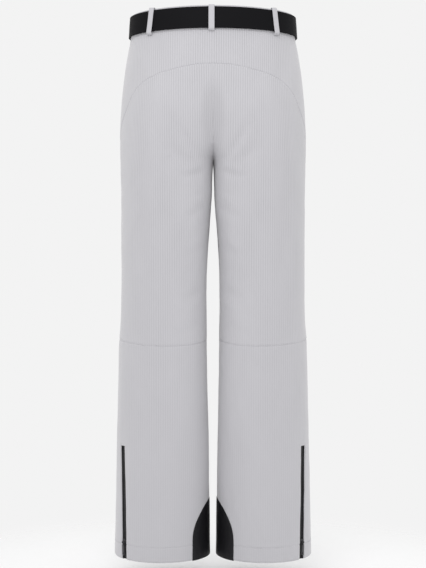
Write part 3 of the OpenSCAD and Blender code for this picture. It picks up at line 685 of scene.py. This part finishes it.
def hem_and(other):
    """The hem's fold and its stitched line, added to another relief."""
    def relief(base, angles, depths):
        up = hem_depth(angles) - depths
        line = up - HEM_FOLD
        hem = 0.3 * (line < 0) - 0.5 * bump(line, 1.1) + 0.2 * bump(line - 5, 4)
        hem = hem - 0.5 * bump(up, 1.2)
        return hem + (other(base, angles, depths) if other else 0)
    return relief


def fly_and(other, side):
    """The fly's lap on the left front, added to another relief."""
    def relief(base, angles, depths):
        x = base[..., 0]
        lap = np.where(depths < 205, 1.0, np.clip((235 - depths) / 30, 0, 1))
        raised = 0.5 * lap * (side > 0) * (x < 34)
        return raised + other(base, angles, depths)
    return relief


def knee_swell(_, angles, depths):
    u = np.abs(angles) / 180
    v = (depths - 545) / 160
    return 2.0 * np.sin(np.pi * np.clip(u, 0, 1)) * np.sin(np.pi * np.clip(v, 0, 1))


def make_yoke():
    """The back yoke, one piece over both sides."""
    half = spread(250, STEP)
    us = np.concatenate([half, 1 + half[1:]])
    w = np.where(us <= 1, us, 2 - us)
    low = smooth(YOKE_SEAM, w)
    depths = BAND_H + (low - BAND_H) * spread(140, STEP)[:, None]
    angles = w[None, :] * angle_at(depths)
    sign = np.where(us <= 1, 1.0, -1.0)[None, :, None] * [1.0, 0, 0] + [0, 1.0, 1.0]
    base = leg(angles, depths) * sign
    across, down = arc_lengths(base, 1), arc_lengths(base, 0)
    edge = np.minimum(np.minimum(across, across[:, -1:] - across),
                      np.minimum(down + 2, down[-1:] - down))
    relief = cloth_relief(base, False, edge, 5)
    outer = leg(angles, depths, relief) * sign
    inner = leg(angles, depths, relief - CLOTH_T) * sign
    middle = len(us) // 2
    outer[:, middle, 0] = inner[:, middle, 0] = 0
    for layer in (outer, inner):
        layer[..., 1] += bridge(layer)
    GRIDS["back_yoke"] = outer
    cloth("back_yoke", "shell", outer, inner, base)


# ----
# Waistband, belt and loops

# The belt's upper edge below the waist edge, width, thickness and distance from the cloth
BELT_TOP, BELT_W, BELT_T, BELT_OFF = 3.2, 40.0, 2.2, 2.1
OVERLAP_LIFT = BELT_T + 0.4  # where the belt's end lies over its start
BELT_TURNS, LIFT_TURNS = (-103.0, 298.0), (222.0, 250.0)
# Belt loops: turn, lean, extra height over the belt, and how far each reaches below the belt
LOOPS = {
    "loop_back_centre": (89, 0, 0, 8.7),
    "loop_back_l": (43, -5, 0, 9.8), "loop_back_r": (137, 5, 0, 9.8),
    "loop_front_l": (-52, 0, 0, 8.5), "loop_front_r": (232, 0, OVERLAP_LIFT, 8.5),
}


def band_cloth(node, slot, turns, d, off, thickness, base):
    cloth(node, slot, waist(turns, d, off), waist(turns, d, off - thickness), base)


def make_waistband():
    turns = np.linspace(-89.85, 269.85, 361)[None, :]
    d = (spread(BAND_H, 3.0) * BAND_H)[:, None]
    base = waist(turns, d)
    arc = arc_lengths(base, 1)
    wave = 0.25 * noise(arc, d * 2, 60, 3)
    roll = -0.7 * bump(d, 1.2) - 0.2 * bump(BAND_H - d, 1.3)
    band_cloth("waistband_outer", "shell", turns, d, wave + roll, 1.3, base)
    d = (1 + spread(BAND_H - 2, 3.0) * (BAND_H - 2))[:, None]
    inner_wave = -1.8 + 0.15 * noise(arc_lengths(waist(turns, d), 1), d * 2, 45, 4)
    band_cloth("waistband_facing", "black_cloth", turns, d, inner_wave, 1.2, waist(turns, d, -2))
    turns = np.linspace(-93, -66, 40)[None, :]
    d = (4 + spread(BAND_H - 6, 3.0) * (BAND_H - 6))[:, None]
    band_cloth("waistband_tab", "black_cloth", turns, d, -8.9, 1.6, waist(turns, d, -9))


def belt_lift(turns):
    t = np.clip((turns - LIFT_TURNS[0]) / (LIFT_TURNS[1] - LIFT_TURNS[0]), 0, 1)
    return OVERLAP_LIFT * (1 - np.cos(np.pi * t)) / 2


def make_belt():
    turns = np.linspace(*BELT_TURNS, 402)[None, :]
    rim = [0, 0.15, 0.45, 0.9, 1.5, 3]
    across = np.array([*rim, *np.linspace(5, 35, 16), 37, 38.5, 39.1, 39.55, 39.85, 40])
    edge = np.minimum(across, BELT_W - across)[:, None]
    full = np.sqrt(np.clip(1 - (1 - np.minimum(edge, 1)) ** 2, 0.02, 1))
    bow = 0.35 * bump(across[:, None] - BELT_W / 2, 14)
    middle = BELT_OFF + belt_lift(turns) + BELT_T / 2
    d = (BELT_TOP + across)[:, None]
    arc = arc_lengths(waist(turns, d), 1)
    sag = 0.18 * noise(arc, d, 130, 8)
    outer = waist(turns, d, middle + full * BELT_T / 2 + sag + bow)
    inner = waist(turns, d, middle - full * BELT_T / 2 + sag)
    uv = np.stack([arc * MM, -np.broadcast_to(d, arc.shape) * MM], -1)
    obj = sheet_mesh("belt_webbing", outer, inner, uv)
    place(obj, "belt_strap", slot="webbing")


def rounded_path(corners):
    """A smooth path through corners (Catmull-Rom), with points about half a mm apart."""
    c = np.asarray(corners, float)
    c = np.vstack([2 * c[0] - c[1], c, 2 * c[-1] - c[-2]])
    out = []
    for k in range(1, len(c) - 2):
        n = max(2, int(np.linalg.norm(c[k + 1] - c[k]) / 0.5))
        t = np.linspace(0, 1, n, endpoint=False)[:, None]
        out.append(0.5 * (2 * c[k] + (c[k + 1] - c[k - 1]) * t
                          + (2 * c[k - 1] - 5 * c[k] + 4 * c[k + 1] - c[k + 2]) * t**2
                          + (3 * c[k] - c[k - 1] - 3 * c[k + 1] + c[k + 2]) * t**3))
    return np.vstack([*out, c[-2:-1]])


def loop_frame(turn, lean, points):
    """Points (out, across, up) at a belt loop, to points of the trousers."""
    d = BELT_TOP + BELT_W / 2
    p = waist(turn, d)
    q = waist(turn + 0.5, d) - waist(turn - 0.5, d)
    face = np.arctan2(q[1], q[0]) - np.pi / 2
    n = np.array([np.cos(face), np.sin(face), 0])
    slope = (waist(turn, np.clip(d - points[..., 2], 0, None)) - p) @ n
    x, y, z = points[..., 0] + slope, points[..., 1], points[..., 2]
    a = np.radians(lean)
    y, z = y * np.cos(a) - z * np.sin(a), y * np.sin(a) + z * np.cos(a)
    c, s = np.cos(face), np.sin(face)
    return p + np.stack([x * c - y * s, x * s + y * c, z], -1)


LOOP_T = 1.2
# Points across a loop, 11 mm wide, fine at its edges and its two rows of stitching
LOOP_ACROSS = np.array([-5.5, -5.4, -5.1, -4.6, -3.9, -3.4, -2.9, -1.5, 0,
                        1.5, 2.9, 3.4, 3.9, 4.6, 5.1, 5.4, 5.5])


def make_loops():
    """Belt loops: a strip over the belt, turned in and sewn down above and below it."""
    d = BELT_TOP + BELT_W / 2
    across = LOOP_ACROSS
    rim = np.sqrt(np.clip(1 - (np.clip(np.abs(across) - 4.7, 0, None) / 0.8) ** 2, 0.03, 1))
    sunk = -0.16 * bump(np.abs(across) - 3.4, 0.55)
    for name, (turn, lean, lift, drop) in LOOPS.items():
        raised = float(waist_lift(math.sin(math.radians(turn)), d))
        top, low = d + 3.0 - raised, -BELT_W / 2 - drop + 3.5
        out = BELT_OFF + BELT_T + 1.7 + lift
        path = rounded_path([
            (1.0, top - 8), (0.9, top - 3), (1.3, top - 0.7), (2.6, top), (out - 1.1, top - 0.5),
            (out - 0.1, top - 2.4), (out + 0.1, top - 8), (out + 0.15, 0), (out, low + 8),
            (out - 0.3, low + 4.2), (out - 1.9, low + 1.7), (out - 3.4, low + 0.6),
            (1.9, low + 0.2), (1.3, low + 1.2), (1.3, low + 5),
        ])
        tangent = np.gradient(path, axis=0)
        tangent /= np.linalg.norm(tangent, axis=1, keepdims=True)
        normal = np.stack([-tangent[:, 1], tangent[:, 0]], 1)
        layers = []
        for k in (1, 0):
            out_by = (k - 0.5) * LOOP_T * rim + k * sunk
            p2 = path[:, None, :] + normal[:, None, :] * out_by[None, :, None]
            y = np.broadcast_to(across, p2.shape[:2])
            layers.append(loop_frame(turn, lean, np.stack([p2[..., 0], y, p2[..., 1]], -1)))
        uv = np.stack([y, np.broadcast_to(-arc_length(path)[:, None], y.shape)], -1)
        obj = sheet_mesh(name.replace("loop", "belt_loop"), *layers, uv * MM, flip=True)
        place(obj, name, slot="band")
        GRIDS[name] = layers[0]


# ----
# Zips

# The tape's thickness and place inside the cloth's outer face, and the coil's height
TAPE_T, TAPE_OFF, COIL_H = 0.7, -4.6, 2.2
FLANK_RISE = 2.5  # a tape's sides rise to the cloth
FLY_OFF, FLY_LOW, FLY_HIGH = -10.0, 180.0, 50.0


def unit(v):
    return v / np.linalg.norm(v)


def zip_axes(zip_line):
    """Origin, across, out and up directions and length of a zip on the left leg."""
    (th0, d0), (th1, d1) = zip_line
    low, high = leg(th0, d0), leg(th1, d1)
    mid_th, mid_d = (th0 + th1) / 2, (d0 + d1) / 2
    z = unit(high - low)
    y = unit(np.cross(leg(mid_th + 1, mid_d) - leg(mid_th - 1, mid_d), z))
    return low, np.cross(y, z), y, z, np.linalg.norm(high - low)


def fly_axes():
    low, high = (np.array([0, float(leg(-angle_at(d), d)[1]) - FLY_OFF, -d])
                 for d in (FLY_LOW, FLY_HIGH))
    z, x = unit(high - low), np.array([-1.0, 0, 0])
    return low, x, np.cross(z, x), z, np.linalg.norm(high - low)


def in_zip(axes, points):
    """Points (across, out, up) of a zip's frame, in the trousers' frame."""
    o, x, y, z, _ = axes
    return o + points[..., :1] * x + points[..., 1:2] * y + points[..., 2:] * z


def make_tape(name, node, axes, side, start, length, rise=0.0):
    """A zip's woven tape: a channel for the slider, its sides "rise" higher, under the cloth."""
    half = [8, 7.9, 7.6, 7, 6.2, 5.7, 5.4, 5.1, 4.8, 4.5, 3.6]
    x = np.array([-v for v in half] + [0] + half[::-1])
    z = np.linspace(start, start + length, int(length / 3))
    t = np.clip((np.abs(x) - 4.5) / 1.2, 0, 1)
    lift = rise * t * t * (3 - 2 * t) + 0.12 * bump(np.abs(x) - 7.1, 0.6)
    grid = np.stack(np.broadcast_arrays(x[None, :], 0.0, z[::-1, None]), -1)
    outer, inner = grid.copy(), grid.copy()
    outer[..., 1] = TAPE_OFF - 0.1 + lift
    inner[..., 1] = TAPE_OFF - TAPE_T + lift
    uv = np.stack([grid[..., 0], grid[..., 2]], -1) * MM
    obj = sheet_mesh(name, in_zip(axes, outer), in_zip(axes, inner), uv, mirrored=side < 0, flip=True)
    place(obj, node, slot="black_cloth")


def capsules(centres, directions, half, radius, ends=(0.55, 0.7), sides=6):
    t = directions / np.linalg.norm(directions, axis=1, keepdims=True)
    helper = np.where(np.abs(t[:, 2:]) < 0.9, np.array([[0, 0, 1.0]]), np.array([[1.0, 0, 0]]))
    n1 = np.cross(t, helper)
    n1 /= np.linalg.norm(n1, axis=1, keepdims=True)
    n2 = np.cross(t, n1)
    turns = np.arange(sides) * 2 * np.pi / sides
    ring = (n1[:, None, :] * np.cos(turns)[None, :, None]
            + n2[:, None, :] * np.sin(turns)[None, :, None])
    small, reach = ends
    blocks = []
    for s, r in ((-1, small), (-reach, 1.0), (reach, 1.0), (1, small)):
        blocks.append(centres[:, None, :] + t[:, None, :] * s * half + ring * radius * r)
    tips = [centres[:, None, :] + t[:, None, :] * s * (half + radius * 0.3) for s in (-1, 1)]
    verts = np.concatenate(blocks + tips, axis=1)
    per = verts.shape[1]
    pairs = [(k * sides + m, k * sides + (m + 1) % sides) for k in range(3) for m in range(sides)]
    quads = np.array([(a, b, b + sides, a + sides) for a, b in pairs])
    tip0, tip1 = 4 * sides, 4 * sides + 1
    tris = np.array([(tip0, (m + 1) % sides, m) for m in range(sides)]
                    + [(tip1, 3 * sides + m, 3 * sides + (m + 1) % sides) for m in range(sides)])
    shift = (np.arange(len(centres)) * per)[:, None, None]
    return (verts.reshape(-1, 3), (quads[None] + shift).reshape(-1, 4).tolist()
            + (tris[None] + shift).reshape(-1, 3).tolist())


def make_coil(name, node, axes, side, length):
    """A closed coil: its two rows of nylon turns mesh along the middle, over two sewn cords."""
    pitch, r = 1.5, 0.62
    z = np.arange(1.5, length - 1.0, pitch)
    centres, directions = [], []
    for sign in (-1.0, 1.0):
        zz = z + (pitch / 2 if sign > 0 else 0)
        ones = np.ones(len(zz))
        centres.append(np.stack([sign * ones, (TAPE_OFF + COIL_H / 2) * ones, zz], 1))
        directions.append(np.tile([1.0, 0, 0.12 * sign], (len(zz), 1)))
    verts, faces = capsules(np.vstack(centres), np.vstack(directions), 1.75, r, (0.6, 0.8), 8)
    cords = np.array([[x, TAPE_OFF + 0.55, length / 2] for x in (-2.45, 2.45)])
    more, more_faces = capsules(cords, np.tile([0, 0, 1.0], (2, 1)), length / 2 - 1, 0.55,
                                (0.7, 0.99), 10)
    faces = faces + [tuple(i + len(verts) for i in f) for f in more_faces]
    verts = np.vstack([verts, more])
    uv = np.stack([verts[:, 0], verts[:, 2]], -1) * MM
    obj = finish_mesh(name, in_zip(axes, verts), faces, uv, mirrored=side < 0)
    place(obj, node, slot="coil")


def make_zips():
    """Tape and coil of each zip. A tape starts below its coil, and is longer by "extra"."""
    for side, tag in SIDES:
        for kind, line, start, extra in (("ankle", ANKLE_ZIP, -2.6, 8.6),
                                         ("pocket", POCKET_ZIP, -6, 12)):
            axes = zip_axes(line)
            make_tape(f"{kind}_zip_tape{tag}", f"{kind}_tape{tag}", axes, side, start,
                      axes[4] + extra, FLANK_RISE)
            make_coil(f"{kind}_zip_coil{tag}", f"{kind}_coil{tag}", axes, side, axes[4])
    axes = fly_axes()
    make_tape("fly_zip_tape", "fly_tape", axes, 1, 0, axes[4])
    make_coil("fly_zip_coil", "fly_coil", axes, 1, axes[4])


# ----
# Guards, pocket bags, fly shield, lining and gaiters

def make_guards(side, tag):
    """Kick patch: an arch on the inseam, thickest away from its sewn edge."""
    half = np.array([0, 0.012, 0.03, 0.05, 0.08, 0.12, 0.18, 0.26, 0.36, 0.48,
                     *np.linspace(0.56, 1, 8)])
    us = np.concatenate([half - 1, (1 - half[::-1])[1:]])
    top = GUARD_SHOULDER + (GUARD_TIP - GUARD_SHOULDER) * (1 - us**2) ** GUARD_POWER
    vs = np.array([0, 0.01, 0.025, 0.045, 0.07, 0.1, *np.linspace(0.14, 0.97, 20), 0.985, 1])
    depths = top + (hem_depth(180 + us * GUARD_TURN) + 0.6 - top) * vs[:, None]
    angles = np.broadcast_to(180 + us * GUARD_TURN, depths.shape)
    base = leg(angles, depths, 1)
    across, down = arc_lengths(base, 1), arc_lengths(base, 0)
    edge = np.minimum(np.minimum(across, across[:, -1:] - across), down)
    raised = (1.4 - 0.8 * bump(edge, 0.9) - 0.3 * bump(edge - 3.4, 0.8)
              + 0.15 * noise(base[..., 1], depths, 40, 31))
    GRIDS["scuff_guard" + tag] = leg(angles, depths, raised)
    cloth("scuff_guard" + tag, "guard", GRIDS["scuff_guard" + tag], leg(angles, depths, 0.2), base,
          side, held="laid", rests_on=["back_calf_cloth" + tag])


def make_pocket_bag(side, tag):
    us, vs = np.linspace(0, 1, 30)[None, :], np.linspace(56, 250, 44)[:, None]
    angles = -(19 + 42 * (1 - 0.35 * ((vs - 56) / 194) ** 3) * us)
    soft = 0.5 * noise(us * 90, vs, 50, 41)
    cloth("pocket_bag" + tag, "black_cloth", leg(angles, vs, -9.2 + soft),
          leg(angles, vs, -10.3 + soft), leg(angles, vs, -9.6), side, held="hung",
          rests_on=["pocket_zip_tape" + tag], flip=True)


def make_lining(side, tag):
    us = np.linspace(-1, 1, 91)[None, :]
    rows = np.concatenate([np.linspace(50, 200, 26), np.linspace(205, 305, 30),
                           np.linspace(312, 985, 96)])[:, None]
    slit = np.clip((235 - rows) / 30, 0, 1) * 26
    front = np.minimum(angle_at(rows, slit), angle_at(rows)) - 0.5
    angles = np.where(us < 0, front, angle_at(rows) - 0.5) * us
    soft = 0.8 * noise(us * 280, rows * 0.3, 60, 43) * np.clip((1 - np.abs(us)) * 8, 0, 1)
    cloth("lining" + tag, "lining", leg(angles, rows, -11.6 + soft),
          leg(angles, rows, -12.2 + soft), leg(angles, rows, -12), side, held="hung",
          rests_on=["waistband_facing_cloth"])


# The gaiter's upper and lower edge, and the height of the elastic along its lower edge
GAITER_TOP, GAITER_LOW, ELASTIC_H = 790.0, 1022.0, 22.0


def gaiter_off(rows):
    """How far down the gaiter a row is, from 0 to 1, and how far inside the shell it is there."""
    t = (rows - GAITER_TOP) / (GAITER_LOW - GAITER_TOP)
    return t, -16.6 - 10.4 * np.clip(t, 0, 1) ** 1.3


def make_gaiter(side, tag):
    """The snow gaiter, gathered towards its elastic."""
    turns = np.linspace(-180, 180, 181)[None, :-1]
    rows = np.linspace(GAITER_TOP, GAITER_LOW - ELASTIC_H, 60)[:, None]
    t, off = gaiter_off(rows)
    turned = np.radians(turns)
    gather = 1.6 * t**2 * np.sin(turned * 23 + 2 * np.sin(turned * 3))
    off = off + (gather + 0.5 * noise(turns, rows * 0.5, 40, 47))
    cloth("gaiter" + tag, "black_cloth", leg(turns, rows, off),
          leg(turns, rows, off - 0.8), leg(turns, rows, -18), side, held="gathered",
          rests_on=["lining_cloth" + tag], closed=True)

    elastic_top = GAITER_LOW - ELASTIC_H
    rows = (elastic_top + spread(ELASTIC_H, 2) * ELASTIC_H)[:, None]
    turns = np.linspace(-180, 180, 361)[None, :-1]
    off = gaiter_off(rows)[1] + 0.45 * np.sin(np.radians(turns) * 60)
    off = off - 0.7 * bump(np.minimum(rows - elastic_top, GAITER_LOW - rows), 1)
    cloth("gaiter_elastic" + tag, "elastic", leg(turns, rows, off),
          leg(turns, rows, off - 1.6), leg(turns, rows, -26), side, held="gathered",
          rests_on=["gaiter_cloth" + tag], closed=True)


def make_fly_shield():
    axes = fly_axes()
    x, z = np.linspace(-20, 18, 26)[None, :], np.linspace(axes[4] - 4, -8, 60)[:, None]
    y = TAPE_OFF - TAPE_T - 0.8
    soft = 0.3 * noise(x, z, 30, 51)
    grids = [in_zip(axes, np.stack(np.broadcast_arrays(x, y + soft - k, z), -1))
             for k in (0, 1.1, 0.5)]
    cloth("fly_shield", "black_cloth", *grids, flip=True)


# ----
# Stitching

def rows_of_stitches(name, runs, slot, pitch=3.3, half=1.2, radius=0.24):
    """Lockstitch rows. Each run is a line of points in mm and the sides of the trousers it is on."""
    centres, directions = [], []
    for line, sides in runs:
        line = np.asarray(line, float)
        arc = arc_length(line)
        at = np.arange(pitch, arc[-1] - pitch / 2, pitch)
        c, a, b = ([np.interp(at + shift, arc, line[:, k]) for k in range(3)]
                   for shift in (0, -half, half))
        c, t = np.stack(c, 1), np.stack(b, 1) - np.stack(a, 1)
        for side in sides:
            mirror = np.array([side, 1.0, 1.0])
            centres.append(c * mirror)
            directions.append(t * mirror)
    verts, faces = capsules(np.vstack(centres), np.vstack(directions), half, radius)
    obj = finish_mesh(name, verts, faces, np.stack([verts[:, 0], verts[:, 2]], -1) * MM)
    place(obj, slot=slot)


def above_edge(grid, up):
    """The line of a grid at a height above its lower edge."""
    line = [[np.interp(-grid[-1, i, 2] - up, -grid[:, i, 2], grid[:, i, k]) for k in range(3)]
            for i in range(grid.shape[1])]
    return np.array(line)


BOTH = (1, -1)
STITCH_IN = 3  # grid lines between a seam and its topstitching


def make_stitching():
    g = GRIDS
    k = STITCH_IN
    yoke, thigh, calf = g["back_yoke"], g["back_thigh_l"], g["back_calf_l"]
    front, knee, shin = g["front_thigh_l"], g["front_knee_l"], g["front_shin_l"]
    lead = len(CALF_LEAD)
    below_zip = len(CALF_UPPER) - 1
    pocket = len(FRONT_LEAD)
    slit = slice(POCKET_ROWS, POCKET_ROWS + len(POCKET_SPAN))
    hem = above_edge(calf, HEM_FOLD)
    guard_end = len(hem) - 14
    runs = [
        (yoke[-1 - k, k:-k], (1,)), (yoke[k, k:-k], (1,)),
        (thigh[-1 - k, k:-k], BOTH),
        (calf[below_zip:-2, lead - 1 - k], BOTH), (calf[below_zip:-2, lead + k], BOTH),
        (hem[:lead - 2], BOTH), (hem[lead + 2:guard_end], BOTH),
        (knee[k, k:-k], BOTH), (knee[-1 - k, k:-k], BOTH), (above_edge(shin, HEM_FOLD)[:-12], BOTH),
        (front[slit, pocket - 1 - k], BOTH), (front[slit, pocket + k], BOTH),
        (front[k:60, -1 - k], (-1,)), (front[k, k:-k], BOTH),
    ]
    # The fly's two rows run straight down and then round to the middle
    curve = np.linspace(0, np.pi / 2, 16)
    depths = np.concatenate([np.linspace(50, 176, 40), 176 + 30 * np.sin(curve)])
    x = np.concatenate([np.full(40, 32.0), 32 * np.cos(curve)])
    angles = -angle_at(depths, x)
    base = leg(angles, depths)
    lift = cloth_relief(base, True, np.full(len(depths), 30.0), 22) + 0.5
    runs += [(leg(angles, depths, lift), (1,)), (leg(angles + 1.6, depths, lift), (1,))]
    for name in LOOPS:
        for column in (5, -6):
            runs.append((g[name][16:-14, column], (1,)))
    rows_of_stitches("shell_stitching", runs, "shell")

    arch = g["scuff_guard_l"]
    edge = np.vstack([arch[::-1, 5][:-5], arch[5, 5:-5], arch[5:, -6]])
    rows_of_stitches("guard_stitching", [(edge, BOTH)], "guard")

    tacks = []
    for name in LOOPS:
        grid = g[name]
        for row in np.linspace(len(grid) - 17, len(grid) - 12, 4):
            tacks.append((grid[int(row), 2:-2], (1,)))
        for row in (9, 11):
            tacks.append((grid[row, 2:-2], (1,)))
    rows_of_stitches("loop_tacks", tacks, "shell", pitch=1.0, half=0.55, radius=0.22)
    tacks = []
    for end in (hem[lead + 2:lead + 4], hem[guard_end - 1:guard_end + 1]):
        for up in (-1.2, 0, 1.2):
            tacks.append((end + [0, 0.1, up], BOTH))
    rows_of_stitches("hem_tacks", tacks, "black_cloth", pitch=0.8, half=0.5, radius=0.24)


# ----
# Camera, light and floor

def make_camera():
    cam = bpy.data.objects.new("camera", bpy.data.cameras.new("camera"))
    bpy.context.scene.collection.objects.link(cam)
    cam.location = (0.0, 2.5, -0.5206)
    cam.rotation_euler = (math.radians(90), 0, math.radians(180))
    cam.data.lens = 81.3
    cam.data.sensor_width = 36
    bpy.context.scene.camera = cam


def make_lamp(name, location, target, size, power, beam=180):
    data = bpy.data.lights.new(name, "AREA")
    data.shape, data.size, data.energy, data.spread = "DISK", size, power, math.radians(beam)
    lamp = bpy.data.objects.new(name, data)
    bpy.context.scene.collection.objects.link(lamp)
    lamp.location = location
    lamp.rotation_euler = (Vector(target) - Vector(location)).to_track_quat("-Z", "Y").to_euler()
    lamp.visible_camera = False


PAPER = 0.896  # the surroundings' brightness
FLOOR_R, FLOOR_Z = 0.9, -1093.0  # the floor's radius in metres and its height in mm


def make_stage():
    """Even pale surroundings, soft lamps above both sides and a pale floor that fades out."""
    world = bpy.data.worlds.new("studio")
    world.use_nodes = True
    world.node_tree.nodes["Background"].inputs[0].default_value = (PAPER, PAPER, PAPER, 1)
    bpy.context.scene.world = world
    bpy.context.scene.view_settings.view_transform = "Standard"
    make_lamp("back_lamp", (0.25, 1.35, 0.8), (0, 0, -0.15), 1.2, 8.0)
    make_lamp("fill_lamp", (-0.1, 2.3, -0.25), (0, 0, -0.35), 0.8, 1.0, 75)
    make_lamp("front_lamp", (-0.5, -1.7, 0.95), (0, 0, -0.3), 1.4, 6.0)

    turns = np.linspace(0, 2 * np.pi, 97)[:-1]
    rings = np.linspace(0.0, FLOOR_R, 30)
    n = len(turns)
    verts = [[r * np.cos(a) * 1000, r * np.sin(a) * 1000, FLOOR_Z] for r in rings for a in turns]
    faces = [(k * n + m, (k + 1) * n + m, (k + 1) * n + (m + 1) % n, k * n + (m + 1) % n)
             for k in range(1, len(rings) - 1) for m in range(n)]
    faces += [(0, n + m, n + (m + 1) % n) for m in range(n)]
    floor = finish_mesh("floor", verts, faces)
    s = Shader("pale_floor", 0.9, specular=0.0)
    far = s.add("VectorMath", {0: s.coords("Object")}, operation="LENGTH").outputs["Value"]
    faded = s.ramp(far, 1.12, FLOOR_R + 0.42, 1.0, 0.0, "SMOOTHSTEP")
    s.tree.links.new(faded, s.out.inputs["Alpha"])
    mottled = s.mix(s.noise(s.coords("Object"), 3), (0.93, 0.93, 0.93), (0.95, 0.95, 0.95))
    floor.data.materials.append(s.finish(mottled))


make_camera()
make_stage()
make_yoke()
for side, tag in SIDES:
    make_leg_panels(side, tag)
    make_guards(side, tag)
    make_pocket_bag(side, tag)
    make_lining(side, tag)
    make_gaiter(side, tag)
make_waistband()
make_belt()
make_loops()
make_zips()
make_fly_shield()
make_stitching()
finish_hard_parts()
